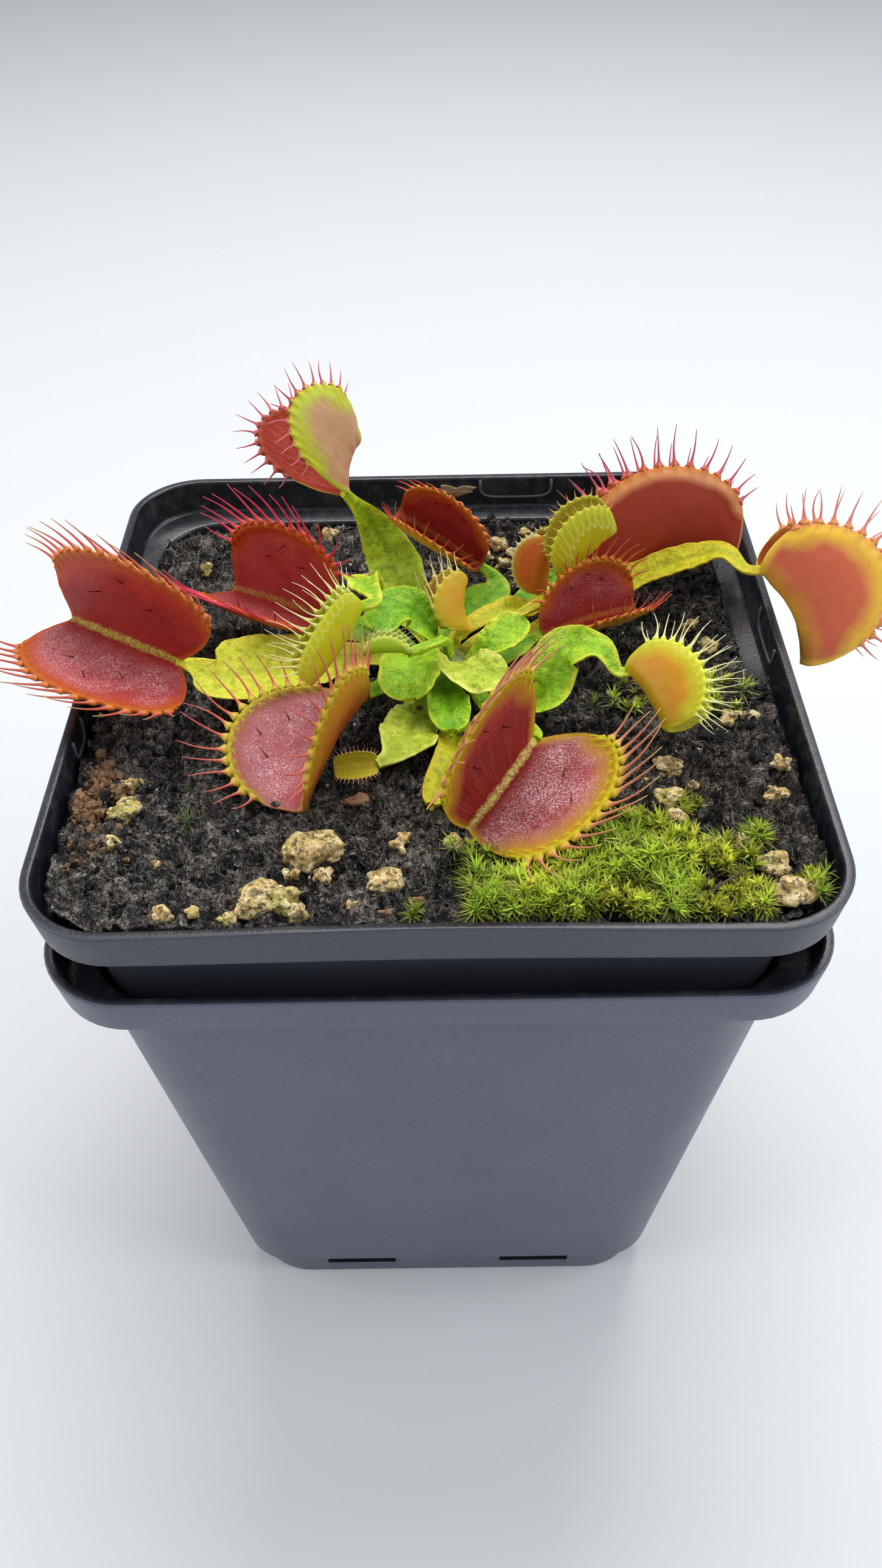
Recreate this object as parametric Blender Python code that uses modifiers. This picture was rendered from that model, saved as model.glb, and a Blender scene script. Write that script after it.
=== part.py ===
"""Venus flytrap in two nested square nursery pots.

Metres, +Z up. The origin lies on the floor under the middle of the pots; +Y points to the back of the
rosette and +X to its right. Sizes in the tables are millimetres and are turned into metres by MM.

Every leaf has two organs, which are separate objects because they differ in colour: a petiole (a flat,
waved green blade) and, on most leaves, a trap (two lobes that fold about a midrib, with teeth along both
margins). All petioles start on the crown, which stands in a hole in the peat.
"""

import math
from dataclasses import dataclass

import bmesh
import bpy
import numpy as np
from mathutils import Vector, noise

MM = 0.001
CLEARANCE = 0.3                 # gap between pieces that touch

# Pots: both are the same mould; the inner one stands NEST_LIFT higher in the outer one.
RIM_HALF = 45.0                 # half the outer width across the rim
POT_HEIGHT = 91.8
POT_WALL = 0.85
NEST_LIFT = 11.5
COLLAR_DEPTH = 5.5
COLLAR_HALF = 44.3              # at the collar's lower edge
LIP_HALF = 43.6                 # inner edge of the rim's top face
BODY_TOP_HALF = 41.1
BODY_FOOT_HALF = 33.0
FOOT_HEIGHT = 6.0
FOOT_HALF = 32.0
CORNER_STEPS = 4
SIDE_STEPS = 2
SLOT_WIDTH = 11.0
SLOT_HEIGHT = 2.4
SLOT_OFFSET = 14.0
DRAIN_RADIUS = 3.5
DRAIN_OFFSET = 17.0

# Peat: a block that fills the inner pot, with a lumpy top that falls towards the back.
SOIL_MID_HEIGHT = 99.3
SOIL_FALL = 0.058               # millimetres down per millimetre towards the back
SOIL_LUMP = 0.75
SOIL_TOP_RINGS = 11
SOIL_CORNER_STEPS = 4
SOIL_SIDE_STEPS = 6
LEDGE_SOIL_HEIGHT = 99.0        # peat above this also covers the ledge under the collar
LEDGE_REACH_START = 99.5        # height from which the peat spreads over the ledge
SOIL_SHOULDER = 95.0            # top of the peat's plain wall
SOIL_CORNER = 8.2
SOIL_FOOT_CORNER = 7.0

# Crown: the short rhizome that all petioles rise from.
CROWN_CENTRE = (1.5, 2.0, 99.5)
CROWN_RADIUS = 3.6

TRAP_THICKNESS = 0.6
PETIOLE_THICKNESS = 0.7
HINGE_RADIUS = 1.2
START_HALF_WIDTH = 0.6
SHORT_TRAP = 8.0                # a shorter trap is met straight, without a bend in the neck
STRAIGHT_START = 0.7            # length of petiole that leaves the crown straight


@dataclass
class Trap:
    """One trap: where its midrib starts, which way it runs, and the form of its two lobes.

    heading is the compass angle of the midrib (0 is +X, 90 is +Y), rise its slope, roll the turn of the
    mouth about the midrib from straight up towards the left of the heading, and gape the angle between
    each lobe and the plane through the middle of the mouth.
    """
    name: str
    base: tuple
    heading: float
    rise: float
    roll: float
    gape: float
    length: float
    height: float
    shoulder: float = 0.15      # how far the lobes reach past the midrib's ends, as a share of its half
    skew: float = 0.0           # lean of the lobes along the midrib
    widest: float = 0.55        # where the lobe is widest, as a share of its height
    arch: float = 0.06          # bend of the midrib, as a share of its length
    bow: float = 0.10           # bulge of each lobe outwards, as a share of its height
    teeth: int = 15
    tooth: float = 6.5          # length of the longest tooth
    inward: float = 0.5         # lean of the teeth towards the other lobe
    sweep: float = 0.0          # lean of the teeth along the midrib
    rows: int = 3
    colour: tuple = (0.45, 0.05, 0.04)


@dataclass
class Petiole:
    """One leaf stalk blade: its route, widths and the way its face looks."""
    name: str
    start: tuple                # compass angle and elevation at which it leaves the crown, in degrees
    route: tuple
    width: float
    widest: float = 0.65        # where along the route the blade is widest
    neck: float = 1.4
    face: tuple = (0.0, -0.3, 1.0)
    twist: float = 0.0          # turn of the face towards the tip, in degrees
    wave: float = 0.35
    waves: float = 2.0
    channel: float = 0.12       # depth of the blade's trough, as a share of its width
    steps: int = 9
    trap: str = ""              # the trap whose foot the blade's neck ends at
    tip: str = "neck"           # "neck" narrows to a trap, "round" ends as a young leaf
    colour: tuple = (0.28, 0.42, 0.03)


RED = (0.40, 0.035, 0.03)
ORANGE = (0.55, 0.13, 0.03)
MAUVE = (0.42, 0.10, 0.14)
YELLOW_GREEN = (0.55, 0.52, 0.05)
GREEN = (0.16, 0.36, 0.03)
LIME = (0.42, 0.50, 0.05)
OLIVE = (0.40, 0.34, 0.06)

TRAPS = (
    Trap("trap_left", (-32.1, -5.5, 108.5), 142, -7, 42, 42, 20.3, 12.1, 0.35, -0.34,
         tooth=7.0, inward=0.3, sweep=0.5, colour=ORANGE),
    Trap("trap_back_left", (-14.5, 9.1, 103.6), 150, -1, 28, 31, 15.3, 11.4, 0.11, -0.11,
         teeth=14, tooth=7.0, inward=0.2, sweep=0.5, colour=RED),
    Trap("trap_raised", (-12.4, 22.2, 114.4), 74, 40, 52, 26, 7.2, 13.4, 0.45, 0.30, arch=0.10,
         teeth=14, tooth=4.0, inward=0.0, sweep=0.3, colour=OLIVE),
    Trap("trap_back_small", (6.4, 18.7, 104.7), 150, 19, 30, 19, 14.1, 8.0, 0.0, 0.0,
         widest=0.35, teeth=12, tooth=3.0, inward=0.4, rows=2, colour=ORANGE),
    Trap("trap_back_right", (23.2, 20.0, 103.2), 12, 0, 38, 15, 18.8, 12.9, 0.20, -0.07,
         tooth=5.5, inward=0.0, colour=RED),
    Trap("trap_right", (44.2, 11.6, 108.9), -45, -50, 57, 12, 13.8, 13.2, 0.30, -0.15, arch=0.12,
         tooth=6.0, inward=0.0, colour=ORANGE),
    Trap("trap_mid_right", (14.2, 6.0, 102.8), 27, -3, -23, 28, 14.8, 8.5, 0.0, -0.04,
         widest=0.3, teeth=13, tooth=4.0, inward=0.3, rows=2, colour=RED),
    Trap("trap_low_right", (23.6, -9.0, 108.5), -62, -20, 58, 7, 8.4, 7.6, 0.30, 0.0,
         teeth=12, tooth=4.5, inward=0.0, rows=2, colour=YELLOW_GREEN),
    Trap("trap_front", (11.6, -19.7, 107.2), -132, -26, 40, 42, 13.0, 12.3, 0.35, -0.28,
         tooth=7.5, inward=0.4, sweep=-0.8, colour=RED),
    Trap("trap_front_left", (-9.1, -7.0, 104.4), -111.5, -6, -32, 43, 19.4, 11.4, 0.0, 0.20,
         widest=0.25, tooth=6.5, inward=0.2, colour=MAUVE),
    Trap("trap_mid_left", (-8.0, -4.5, 114.7), -139, -41, -33, 6, 11.2, 4.9, 0.05, -0.16, arch=-0.05,
         teeth=12, tooth=5.0, inward=-0.3, rows=2, colour=YELLOW_GREEN),
    Trap("trap_centre", (3.8, 4.0, 104.8), 104, 60, 80, 10, 5.6, 5.4, 0.30, 0.40, arch=0.14,
         teeth=8, tooth=3.2, inward=0.0, sweep=3.0, rows=2, colour=ORANGE),
    Trap("trap_right_yellow", (16.8, 13.0, 106.0), 21, 43, 11, 6, 9.2, 7.2, 0.09, 0.34,
         teeth=12, tooth=1.5, inward=0.0, rows=2, colour=YELLOW_GREEN),
    Trap("trap_right_orange", (14.6, 15.7, 102.5), 39, 75, 70, 7, 7.1, 5.3, 0.18, 0.05,
         teeth=10, tooth=0.8, inward=0.0, rows=2, colour=ORANGE),
    Trap("trap_young_left", (-2.8, -7.4, 110.7), 184, 0, -25, 5, 6.2, 2.8, 0.0, 0.0,
         widest=0.08, teeth=7, tooth=1.5, inward=0.0, rows=1, colour=LIME),
    Trap("trap_young_front", (-6.8, -18.7, 102.8), 188, 0, 40, 54, 4.6, 2.2, 0.0, 0.0,
         widest=0.2, teeth=7, tooth=1.0, inward=0.0, rows=1, colour=LIME),
)

PETIOLES = (
    Petiole("petiole_left", (176, 12), ((-9.1, 3.0, 101.6), (-14.4, 1.0, 102.4), (-21.7, -2.4, 104.0),
                                        (-27.0, -5.2, 105.0)), 10.0, 0.72, wave=0.2, trap="trap_left",
            colour=LIME),
    Petiole("petiole_back_left", (148, 12), ((-5.0, 6.5, 101.2), (-10.0, 7.8, 102.2)), 4.5,
            trap="trap_back_left", colour=GREEN),
    Petiole("petiole_raised", (119, 12), ((-4.0, 14.6, 101.3), (-6.0, 22.4, 103.0), (-8.9, 24.8, 108.0)),
            7.5, 0.55, face=(0.2, -0.8, 0.6), trap="trap_raised", colour=GREEN),
    Petiole("petiole_back_small", (92, 12), ((2.2, 9.4, 101.2), (6.0, 13.6, 101.6), (8.4, 16.4, 102.0)),
            6.0, 0.55, trap="trap_back_small", colour=LIME),
    Petiole("petiole_back_right", (61, 8), ((8.0, 10.6, 99.9), (13.5, 18.8, 100.0), (18.5, 20.6, 101.4)),
            3.0, trap="trap_back_right", colour=GREEN),
    Petiole("petiole_right", (35, 10), ((8.5, 5.4, 100.2), (14.5, 10.4, 100.3), (21.0, 14.8, 101.0),
                                        (28.3, 17.8, 103.4), (33.6, 17.0, 106.0),
                                        (38.2, 14.6, 109.0)),
            4.5, 0.72, trap="trap_right", colour=LIME),
    Petiole("petiole_mid_right", (7, 12), ((8.5, 2.0, 101.4),), 2.6, trap="trap_mid_right", colour=GREEN),
    Petiole("petiole_low_right", (-21, 12), ((7.2, -2.4, 100.9), (11.0, -6.3, 101.8),
                                             (13.6, -7.8, 104.4), (15.4, -5.4, 108.6),
                                             (19.8, -6.4, 110.0)), 6.0, 0.6,
            trap="trap_low_right", colour=LIME),
    Petiole("petiole_front", (-49, 12), ((5.8, -5.4, 101.0), (9.0, -12.0, 102.8)), 3.2,
            trap="trap_front", colour=GREEN),
    Petiole("petiole_front_left", (-148, 12), ((-3.6, -1.4, 100.8),), 3.0,
            trap="trap_front_left", colour=GREEN),
    Petiole("petiole_mid_left", (128, 40), ((-3.6, 7.2, 104.2), (-8.2, 8.2, 108.0), (-8.8, 3.6, 113.0)),
            5.0, 0.5, trap="trap_mid_left", colour=LIME),
    Petiole("petiole_centre", (52, 60), (), 1.4, steps=4, neck=1.1, trap="trap_centre", colour=OLIVE),
    Petiole("petiole_right_orange", (77, 34), ((4.6, 7.4, 103.0), (9.0, 10.2, 103.4), (13.2, 13.4, 101.2)),
            3.6, trap="trap_right_orange", colour=OLIVE),
    Petiole("petiole_right_yellow", (38, 36), ((7.6, 6.2, 102.8), (11.8, 8.6, 104.2)), 1.6,
            trap="trap_right_yellow", colour=OLIVE),
    Petiole("petiole_young_left", (-80, 76), ((1.5, -0.8, 106.8), (0.6, -5.0, 110.0)), 1.4, steps=7,
            neck=1.1, trap="trap_young_left", colour=GREEN),
    Petiole("petiole_young_front", (-108, 12), ((-1.9, -7.2, 101.2), (-3.5, -13.9, 102.6),
                                               (-5.2, -17.2, 102.7)), 7.2, 0.70,
            trap="trap_young_front", colour=LIME),
    Petiole("leaf_low_front", (-80, 10), ((2.4, -6.0, 100.7), (2.3, -15.0, 101.4), (-0.6, -25.0, 102.0)),
            4.5, tip="round", colour=GREEN),
    Petiole("leaf_round_front", (-104, 38), ((1.4, -6.6, 103.0), (2.0, -13.8, 103.2)), 5.3, 0.7,
            tip="round", colour=GREEN),
    Petiole("leaf_upright_left", (150, 66), ((-0.4, 2.4, 106.0), (-2.9, 3.4, 108.7), (-5.2, 2.2, 109.6),
                                             (-7.6, -1.2, 108.8)), 5.8, tip="round", colour=GREEN),
    Petiole("leaf_broad_left", (-150, 40), ((-1.7, -1.8, 105.2), (-2.9, -5.4, 106.6), (-3.0, -10.2, 105.2)),
            7.8, 0.7, tip="round", face=(-0.3, -0.4, 1.0), colour=GREEN),
    Petiole("leaf_waved_front", (-56, 44), ((3.0, -4.0, 105.2), (5.6, -5.9, 106.0), (9.0, -5.4, 105.4)),
            6.0, tip="round", wave=0.7, colour=LIME),
    Petiole("leaf_oval_right", (-8, 40), ((7.6, 2.0, 104.4), (11.6, 5.2, 105.6)), 5.0,
            tip="round", colour=GREEN),
)

GRAINS = (
    # x, y, radius, and share of the radius that is sunk in the peat
    ("grain_front_left", -14.1, -32.5, 2.6, 0.3),
    ("grain_front_cluster", -17.5, -39.0, 2.3, 0.4),
    ("grain_left", -36.0, -24.2, 1.6, 0.3),
    ("grain_front_mid", -5.7, -36.4, 1.5, 0.3),
    ("grain_right_back", 27.6, -17.6, 1.6, 0.3),
    ("grain_right_mid", 26.6, -24.2, 1.6, 0.3),
    ("grain_right_front", 37.6, -38.8, 2.0, 0.3),
    ("grain_far_right", 38.9, -23.8, 1.4, 0.3),
)


def clear_scene():
    """Remove every object of the file this runs in."""
    for item in list(bpy.data.objects):
        bpy.data.objects.remove(item, do_unlink=True)


def new_collection(name):
    collection = bpy.data.collections.new(name)
    bpy.context.scene.collection.children.link(collection)
    return collection


def plain_material(name, colour, roughness, metallic=0.0):
    material = bpy.data.materials.new(name)
    material.use_nodes = True
    shader = material.node_tree.nodes["Principled BSDF"]
    shader.inputs["Base Color"].default_value = (*colour, 1.0)
    shader.inputs["Roughness"].default_value = roughness
    shader.inputs["Metallic"].default_value = metallic
    return material


def mesh_object(name, points, faces, collection, material=None):
    """Link a mesh made of points in millimetres."""
    mesh = bpy.data.meshes.new(name)
    mesh.from_pydata((np.asarray(points, dtype=float) * MM).tolist(), [], faces)
    mesh.update()
    item = bpy.data.objects.new(name, mesh)
    collection.objects.link(item)
    if material is not None:
        mesh.materials.append(material)
    return item


def set_smooth(item, angle_degrees=40.0):
    item.data.shade_smooth()
    item.data.set_sharp_from_angle(angle=math.radians(angle_degrees))


def solidify(item, thickness, offset):
    modifier = item.modifiers.new("thickness", "SOLIDIFY")
    modifier.thickness = thickness * MM
    modifier.offset = offset
    modifier.use_even_offset = False
    return modifier


def cut(item, cutters):
    modifier = item.modifiers.new("cut", "BOOLEAN")
    modifier.operation = "DIFFERENCE"
    modifier.operand_type = "COLLECTION"
    modifier.collection = cutters
    modifier.solver = "EXACT"


def rounded_square(half, radius, height, corner_steps, side_steps):
    """Points of a square ring with round corners, anticlockwise from the front right corner."""
    points = []
    for quarter in range(4):
        middle = math.radians(-45 + 90 * quarter)
        centre_x = math.copysign(half - radius, math.cos(middle))
        centre_y = math.copysign(half - radius, math.sin(middle))
        start = -90 + 90 * quarter
        corner = []
        for step in range(corner_steps + 1):
            angle = math.radians(start + 90 * step / corner_steps)
            corner.append((centre_x + radius * math.cos(angle), centre_y + radius * math.sin(angle), height))
        points += corner
        turn = math.radians(90)
        first = points[-corner_steps - 1]
        next_first = (first[0] * math.cos(turn) - first[1] * math.sin(turn),
                      first[0] * math.sin(turn) + first[1] * math.cos(turn))
        for step in range(1, side_steps):
            share = step / side_steps
            points.append((corner[-1][0] * (1 - share) + next_first[0] * share,
                           corner[-1][1] * (1 - share) + next_first[1] * share, height))
    return np.array(points)


def loft_faces(rings, count):
    """Quads between neighbouring rings of count points each, ring 0 first."""
    faces = []
    for ring in range(rings - 1):
        low = ring * count
        high = low + count
        for i in range(count):
            j = (i + 1) % count
            faces.append((low + i, high + i, high + j, low + j))
    return faces


def build_pot(name, lift, material, collection, cutters):
    """Thin-walled pot: rim, collar, ledge, tapered body, recessed foot and a flat floor with holes."""
    profile = (
        (LIP_HALF, 8.5, POT_HEIGHT),
        (RIM_HALF, 9.9, POT_HEIGHT),
        (COLLAR_HALF, 9.5, POT_HEIGHT - COLLAR_DEPTH),
        (BODY_TOP_HALF, 9.0, POT_HEIGHT - COLLAR_DEPTH - 0.5),
        (BODY_FOOT_HALF, 7.5, FOOT_HEIGHT),
        (FOOT_HALF + 0.2, 8.5, FOOT_HEIGHT - 0.8),
        (FOOT_HALF, 9.5, 0.0),
        (FOOT_HALF * 0.4, 4.0, 0.0),
    )
    rings = [rounded_square(half, radius, height + lift, CORNER_STEPS, SIDE_STEPS)
             for half, radius, height in profile]
    count = len(rings[0])
    faces = loft_faces(len(rings), count)
    faces.append(tuple(range((len(rings) - 1) * count, len(rings) * count)))
    pot = mesh_object(name, np.concatenate(rings), faces, collection, material)
    make_outward(pot)
    solidify(pot, POT_WALL, -1.0).use_even_offset = True
    holes = new_collection(name + "_holes")
    bpy.context.scene.collection.children.unlink(holes)
    cutters.children.link(holes)
    for side in range(4):
        turn = math.radians(90 * side)
        for across in (-SLOT_OFFSET, SLOT_OFFSET):
            x = across * math.cos(turn) - FOOT_HALF * math.sin(turn)
            y = across * math.sin(turn) + FOOT_HALF * math.cos(turn)
            add_slot(name, (x, y, lift + FOOT_HEIGHT - 1.8), turn, holes)
    for x in (-DRAIN_OFFSET, DRAIN_OFFSET):
        for y in (-DRAIN_OFFSET, DRAIN_OFFSET):
            add_drain(name, (x, y, lift), holes)
    cut(pot, holes)
    set_smooth(pot)
    return pot


def mark_cutter(cutter, name, holes):
    cutter.name = name
    for collection in list(cutter.users_collection):
        collection.objects.unlink(cutter)
    holes.objects.link(cutter)
    cutter.hide_render = True
    cutter.display_type = "WIRE"


def add_slot(name, place, turn, holes):
    bpy.ops.mesh.primitive_cube_add(size=1.0, location=[value * MM for value in place])
    slot = bpy.context.object
    slot.scale = (SLOT_WIDTH * MM, 6.0 * MM, SLOT_HEIGHT * MM)
    slot.rotation_euler = (0.0, 0.0, turn)
    mark_cutter(slot, name + "_slot", holes)


def add_drain(name, place, holes):
    bpy.ops.mesh.primitive_cylinder_add(vertices=10, radius=DRAIN_RADIUS * MM, depth=4.0 * MM,
                                        location=[value * MM for value in place])
    mark_cutter(bpy.context.object, name + "_drain", holes)


def make_outward(item):
    """Point an open shell's faces away from the pot's middle axis and floor."""
    work = bmesh.new()
    work.from_mesh(item.data)
    bmesh.ops.recalc_face_normals(work, faces=work.faces)
    lowest = min(work.faces, key=lambda face: face.calc_center_median().z)
    if lowest.normal.z > 0:
        bmesh.ops.reverse_faces(work, faces=work.faces)
    work.to_mesh(item.data)
    work.free()


def soil_height(x, y):
    """Height of the peat: a slope to the back, a hollow at the right rear and three sizes of lump."""
    slope = SOIL_MID_HEIGHT - SOIL_FALL * y
    hollow = 1.3 * math.exp(-(((x - 34.0) / 12.0) ** 2 + ((y - 12.0) / 16.0) ** 2))
    lumps = 0.0
    for size, share in ((14.0, 0.6), (6.0, 0.3), (3.2, 0.25)):
        lumps += share * noise.noise(Vector((x / size, y / size, size)))
    dents = sum(depth * math.exp(-((x - dx) ** 2 + (y - dy) ** 2) / spread ** 2)
                for dx, dy, spread, depth in SOIL_DENTS)
    return slope - hollow + SOIL_LUMP * lumps - dents


SOIL_DENTS = (
    # x, y, spread and depth of the hollows that low traps lie in
    (6.0, -31.5, 9.0, 2.3),
    (-18.0, -18.0, 9.0, 1.0),
    (28.0, -14.0, 6.0, 0.8),
    (1.5, 0.0, 6.0, 0.5),
)


def body_half(height):
    """Half width of the inner pot's wall, outside, at a height above the floor."""
    share = (height - NEST_LIFT - FOOT_HEIGHT) / (POT_HEIGHT - COLLAR_DEPTH - 0.5 - FOOT_HEIGHT)
    return BODY_FOOT_HALF + share * (BODY_TOP_HALF - BODY_FOOT_HALF)


def build_soil(material, collection):
    """Peat block: rings up the pot's wall, over the ledge where the peat is high, then inwards."""
    inset = POT_WALL + CLEARANCE
    steps = (SOIL_CORNER_STEPS, SOIL_SIDE_STEPS)
    floor_height = NEST_LIFT + inset + 0.1
    foot_top = NEST_LIFT + FOOT_HEIGHT - 0.6
    shoulder_half = body_half(SOIL_SHOULDER) - inset - 0.05
    floor_ring = rounded_square(FOOT_HALF - inset - 1.0, SOIL_FOOT_CORNER, floor_height, *steps)
    foot_ring = rounded_square(FOOT_HALF - inset - 0.6, SOIL_FOOT_CORNER, foot_top, *steps)
    wall_ring = rounded_square(shoulder_half, SOIL_CORNER, SOIL_SHOULDER, *steps)
    wide_ring = rounded_square(LIP_HALF - CLEARANCE - 0.5, SOIL_CORNER, 0.0, *steps)
    count = len(wall_ring)
    under = wall_ring.copy()
    edge = wall_ring.copy()
    rim = wall_ring.copy()
    for i in range(count):
        height = soil_height(wide_ring[i][0], wide_ring[i][1])
        high = min(max((height - LEDGE_REACH_START) / 0.6, 0.0), 1.0)
        reach = high * high * (3 - 2 * high)
        under[i][2] = (height - 1.4) * (1 - reach) + LEDGE_SOIL_HEIGHT * reach
        spread = wall_ring[i] * (1 - reach) + wide_ring[i] * reach
        edge[i] = (spread[0], spread[1], (height - 0.9) * (1 - reach) + (LEDGE_SOIL_HEIGHT + 0.2) * reach)
        rim[i] = (spread[0] * 0.995, spread[1] * 0.995, soil_height(spread[0], spread[1]))
    rings = [floor_ring, foot_ring, wall_ring, under, edge, rim]
    for step in range(1, SOIL_TOP_RINGS):
        share = 1.0 - step / SOIL_TOP_RINGS
        inner = rim.copy()
        inner[:, :2] *= share
        for point in inner:
            point[2] = soil_height(point[0], point[1])
        rings.append(inner)
    faces = loft_faces(len(rings), count)
    top = len(rings) * count
    points = np.concatenate(rings + [np.array([(0.0, 0.0, soil_height(0.0, 0.0))])])
    last = (len(rings) - 1) * count
    faces += [(last + i, top, last + (i + 1) % count) for i in range(count)]
    faces.append(tuple(reversed(range(count))))
    soil = mesh_object("soil", points, faces, collection, material)
    work = bmesh.new()
    work.from_mesh(soil.data)
    bmesh.ops.recalc_face_normals(work, faces=work.faces)
    bmesh.ops.triangulate(work, faces=work.faces)
    work.to_mesh(soil.data)
    work.free()
    set_smooth(soil)
    return soil


def unit(vector):
    return vector / np.linalg.norm(vector, axis=-1, keepdims=True)


def trap_axes(trap):
    """Midrib, mouth and side directions of a trap."""
    heading, rise, roll = (math.radians(value) for value in (trap.heading, trap.rise, trap.roll))
    level = np.array((math.cos(heading), math.sin(heading), 0.0))
    midrib = math.cos(rise) * level + np.array((0.0, 0.0, math.sin(rise)))
    left = np.array((-math.sin(heading), math.cos(heading), 0.0))
    mouth = math.cos(roll) * np.cross(midrib, left) + math.sin(roll) * left
    return midrib, mouth, np.cross(midrib, mouth)


def lobe_outline(trap, turn):
    """Along and up coordinates on the lobe's elliptical edge at an angle from the base end."""
    reach = trap.length / 2 * (1 + trap.shoulder)
    level = trap.widest * trap.height
    start = math.acos(min(trap.length / 2 / reach, 0.995))
    lower = level / math.sin(start)
    up = np.where(np.sin(turn) >= 0, (trap.height - level) * np.sin(turn), lower * np.sin(turn))
    return -reach * np.cos(turn), level + up, start


def lobe_sheet(trap, along, up):
    """Coons patch of one lobe: hinge line, margin arc and two end arcs; along and up run from 0 to 1."""
    start = lobe_outline(trap, np.zeros(1))[2]
    low = 0.35 * start - 0.32
    margin = lobe_outline(trap, -low + along * (math.pi + 2 * low))
    near = lobe_outline(trap, -start + up * (start - low))
    far = (-near[0], near[1])
    half = trap.length / 2
    sheet = []
    for axis, hinge in ((0, half * (2 * along - 1)), (1, np.zeros_like(along))):
        corner_near = lobe_outline(trap, np.array([-low]))[axis][0]
        corner_far = -corner_near if axis == 0 else corner_near
        hinge_near = -half if axis == 0 else 0.0
        hinge_far = half if axis == 0 else 0.0
        blend = (1 - up) * hinge + up * margin[axis] + (1 - along) * near[axis] + along * far[axis]
        blend -= (1 - along) * ((1 - up) * hinge_near + up * corner_near)
        blend -= along * ((1 - up) * hinge_far + up * corner_far)
        sheet.append(blend)
    return sheet[0] + trap.skew * sheet[1], sheet[1]


def fold_lobe(trap, side, along, up):
    """Place a lobe's points: the sheet bends out of the hinge, then rises at the gape angle and bows."""
    midrib, mouth, across = trap_axes(trap)
    gape = math.radians(trap.gape)
    p, q = lobe_sheet(trap, along, up)
    turned = math.pi / 2 - gape
    arc = np.minimum(q / HINGE_RADIUS, turned)
    rest = np.maximum(q - HINGE_RADIUS * turned, 0.0)
    out = HINGE_RADIUS * np.sin(arc) + rest * math.sin(gape)
    rise = HINGE_RADIUS * (1 - np.cos(arc)) + rest * math.cos(gape)
    bulge = trap.bow * trap.height * 4 * up * (1 - up) * 4 * along * (1 - along)
    rise = rise - trap.arch * trap.length * (2 * p / trap.length) ** 2
    outward = side * math.cos(gape) * across - math.sin(gape) * mouth
    middle = np.array(trap.base) + trap.length / 2 * midrib
    return (middle + p[..., None] * midrib + rise[..., None] * mouth
            + (side * out)[..., None] * across + bulge[..., None] * outward)


def build_trap(trap, collection):
    """Both lobes as one folded sheet whose margins run out into teeth, then thickened."""
    midrib, mouth, across = trap_axes(trap)
    gape = math.radians(trap.gape)
    columns = trap.teeth + 1
    along = np.linspace(0.0, 1.0, columns)
    levels = np.linspace(-1.0, 1.0, 2 * trap.rows + 1)
    sheet = []
    for level in levels:
        side = -1.0 if level < 0 else 1.0
        sheet.append(fold_lobe(trap, side, along, np.full(columns, abs(level))))
    points = [point for row in sheet for point in row]
    faces = []
    for row in range(len(levels) - 1):
        for i in range(columns - 1):
            a = row * columns + i
            b = a + 1
            faces.append((a, b, b + columns))
            faces.append((a, b + columns, a + columns))
    for row, side in ((0, -1.0), (len(levels) - 1, 1.0)):
        lobe_up = side * math.sin(gape) * across + math.cos(gape) * mouth
        inner = -(side * math.cos(gape) * across - math.sin(gape) * mouth)
        edge = sheet[row]
        for i in range(1, columns - 2):
            middle = (edge[i] + edge[i + 1]) / 2
            tangent = unit(edge[i + 1] - edge[i])
            outward = lobe_up * np.dot(tangent, midrib) - midrib * np.dot(tangent, lobe_up)
            swell = math.sqrt(math.sin(math.pi * (i + 0.5) / (columns - 1)))
            direction = unit(unit(outward) + trap.inward * swell * inner + trap.sweep * swell * midrib)
            length = trap.tooth * (0.25 + 0.75 * swell)
            points.append(middle + length * direction)
            tip = len(points) - 1
            a = row * columns + i
            faces.append((a, tip, a + 1) if row == 0 else (a, a + 1, tip))
    item = mesh_object(trap.name, points, faces, collection,
                       plain_material(trap.name, trap.colour, 0.45))
    solidify(item, TRAP_THICKNESS, 0.0)
    set_smooth(item, 60.0)
    return item


def smooth_route(points, steps):
    """Evenly spaced points on a Catmull-Rom curve through the given points, with their tangents."""
    control = np.array(points, dtype=float)
    control = np.vstack((2 * control[0] - control[1], control, 2 * control[-1] - control[-2]))
    fine = []
    for i in range(len(control) - 3):
        a, b, c, d = control[i:i + 4]
        for t in np.linspace(0.0, 1.0, 12, endpoint=False):
            fine.append(0.5 * (2 * b + (c - a) * t + (2 * a - 5 * b + 4 * c - d) * t ** 2
                               + (3 * b - a - 3 * c + d) * t ** 3))
    fine.append(control[-2])
    fine = np.array(fine)
    length = np.concatenate(((0.0,), np.cumsum(np.linalg.norm(np.diff(fine, axis=0), axis=1))))
    wanted = np.linspace(0.0, length[-1], steps + 1)
    route = np.stack([np.interp(wanted, length, fine[:, axis]) for axis in range(3)], axis=1)
    return route, unit(np.gradient(route, axis=0))


def crown_start(compass, elevation):
    """Two points on a straight line out of the crown: the first just off its surface."""
    around = math.radians(compass)
    up = math.radians(elevation)
    direction = np.array((math.cos(up) * math.cos(around), math.cos(up) * math.sin(around), math.sin(up)))
    return [np.array(CROWN_CENTRE) + (CROWN_RADIUS + CLEARANCE + 0.1 + run) * direction
            for run in (0.0, STRAIGHT_START)]


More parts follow.
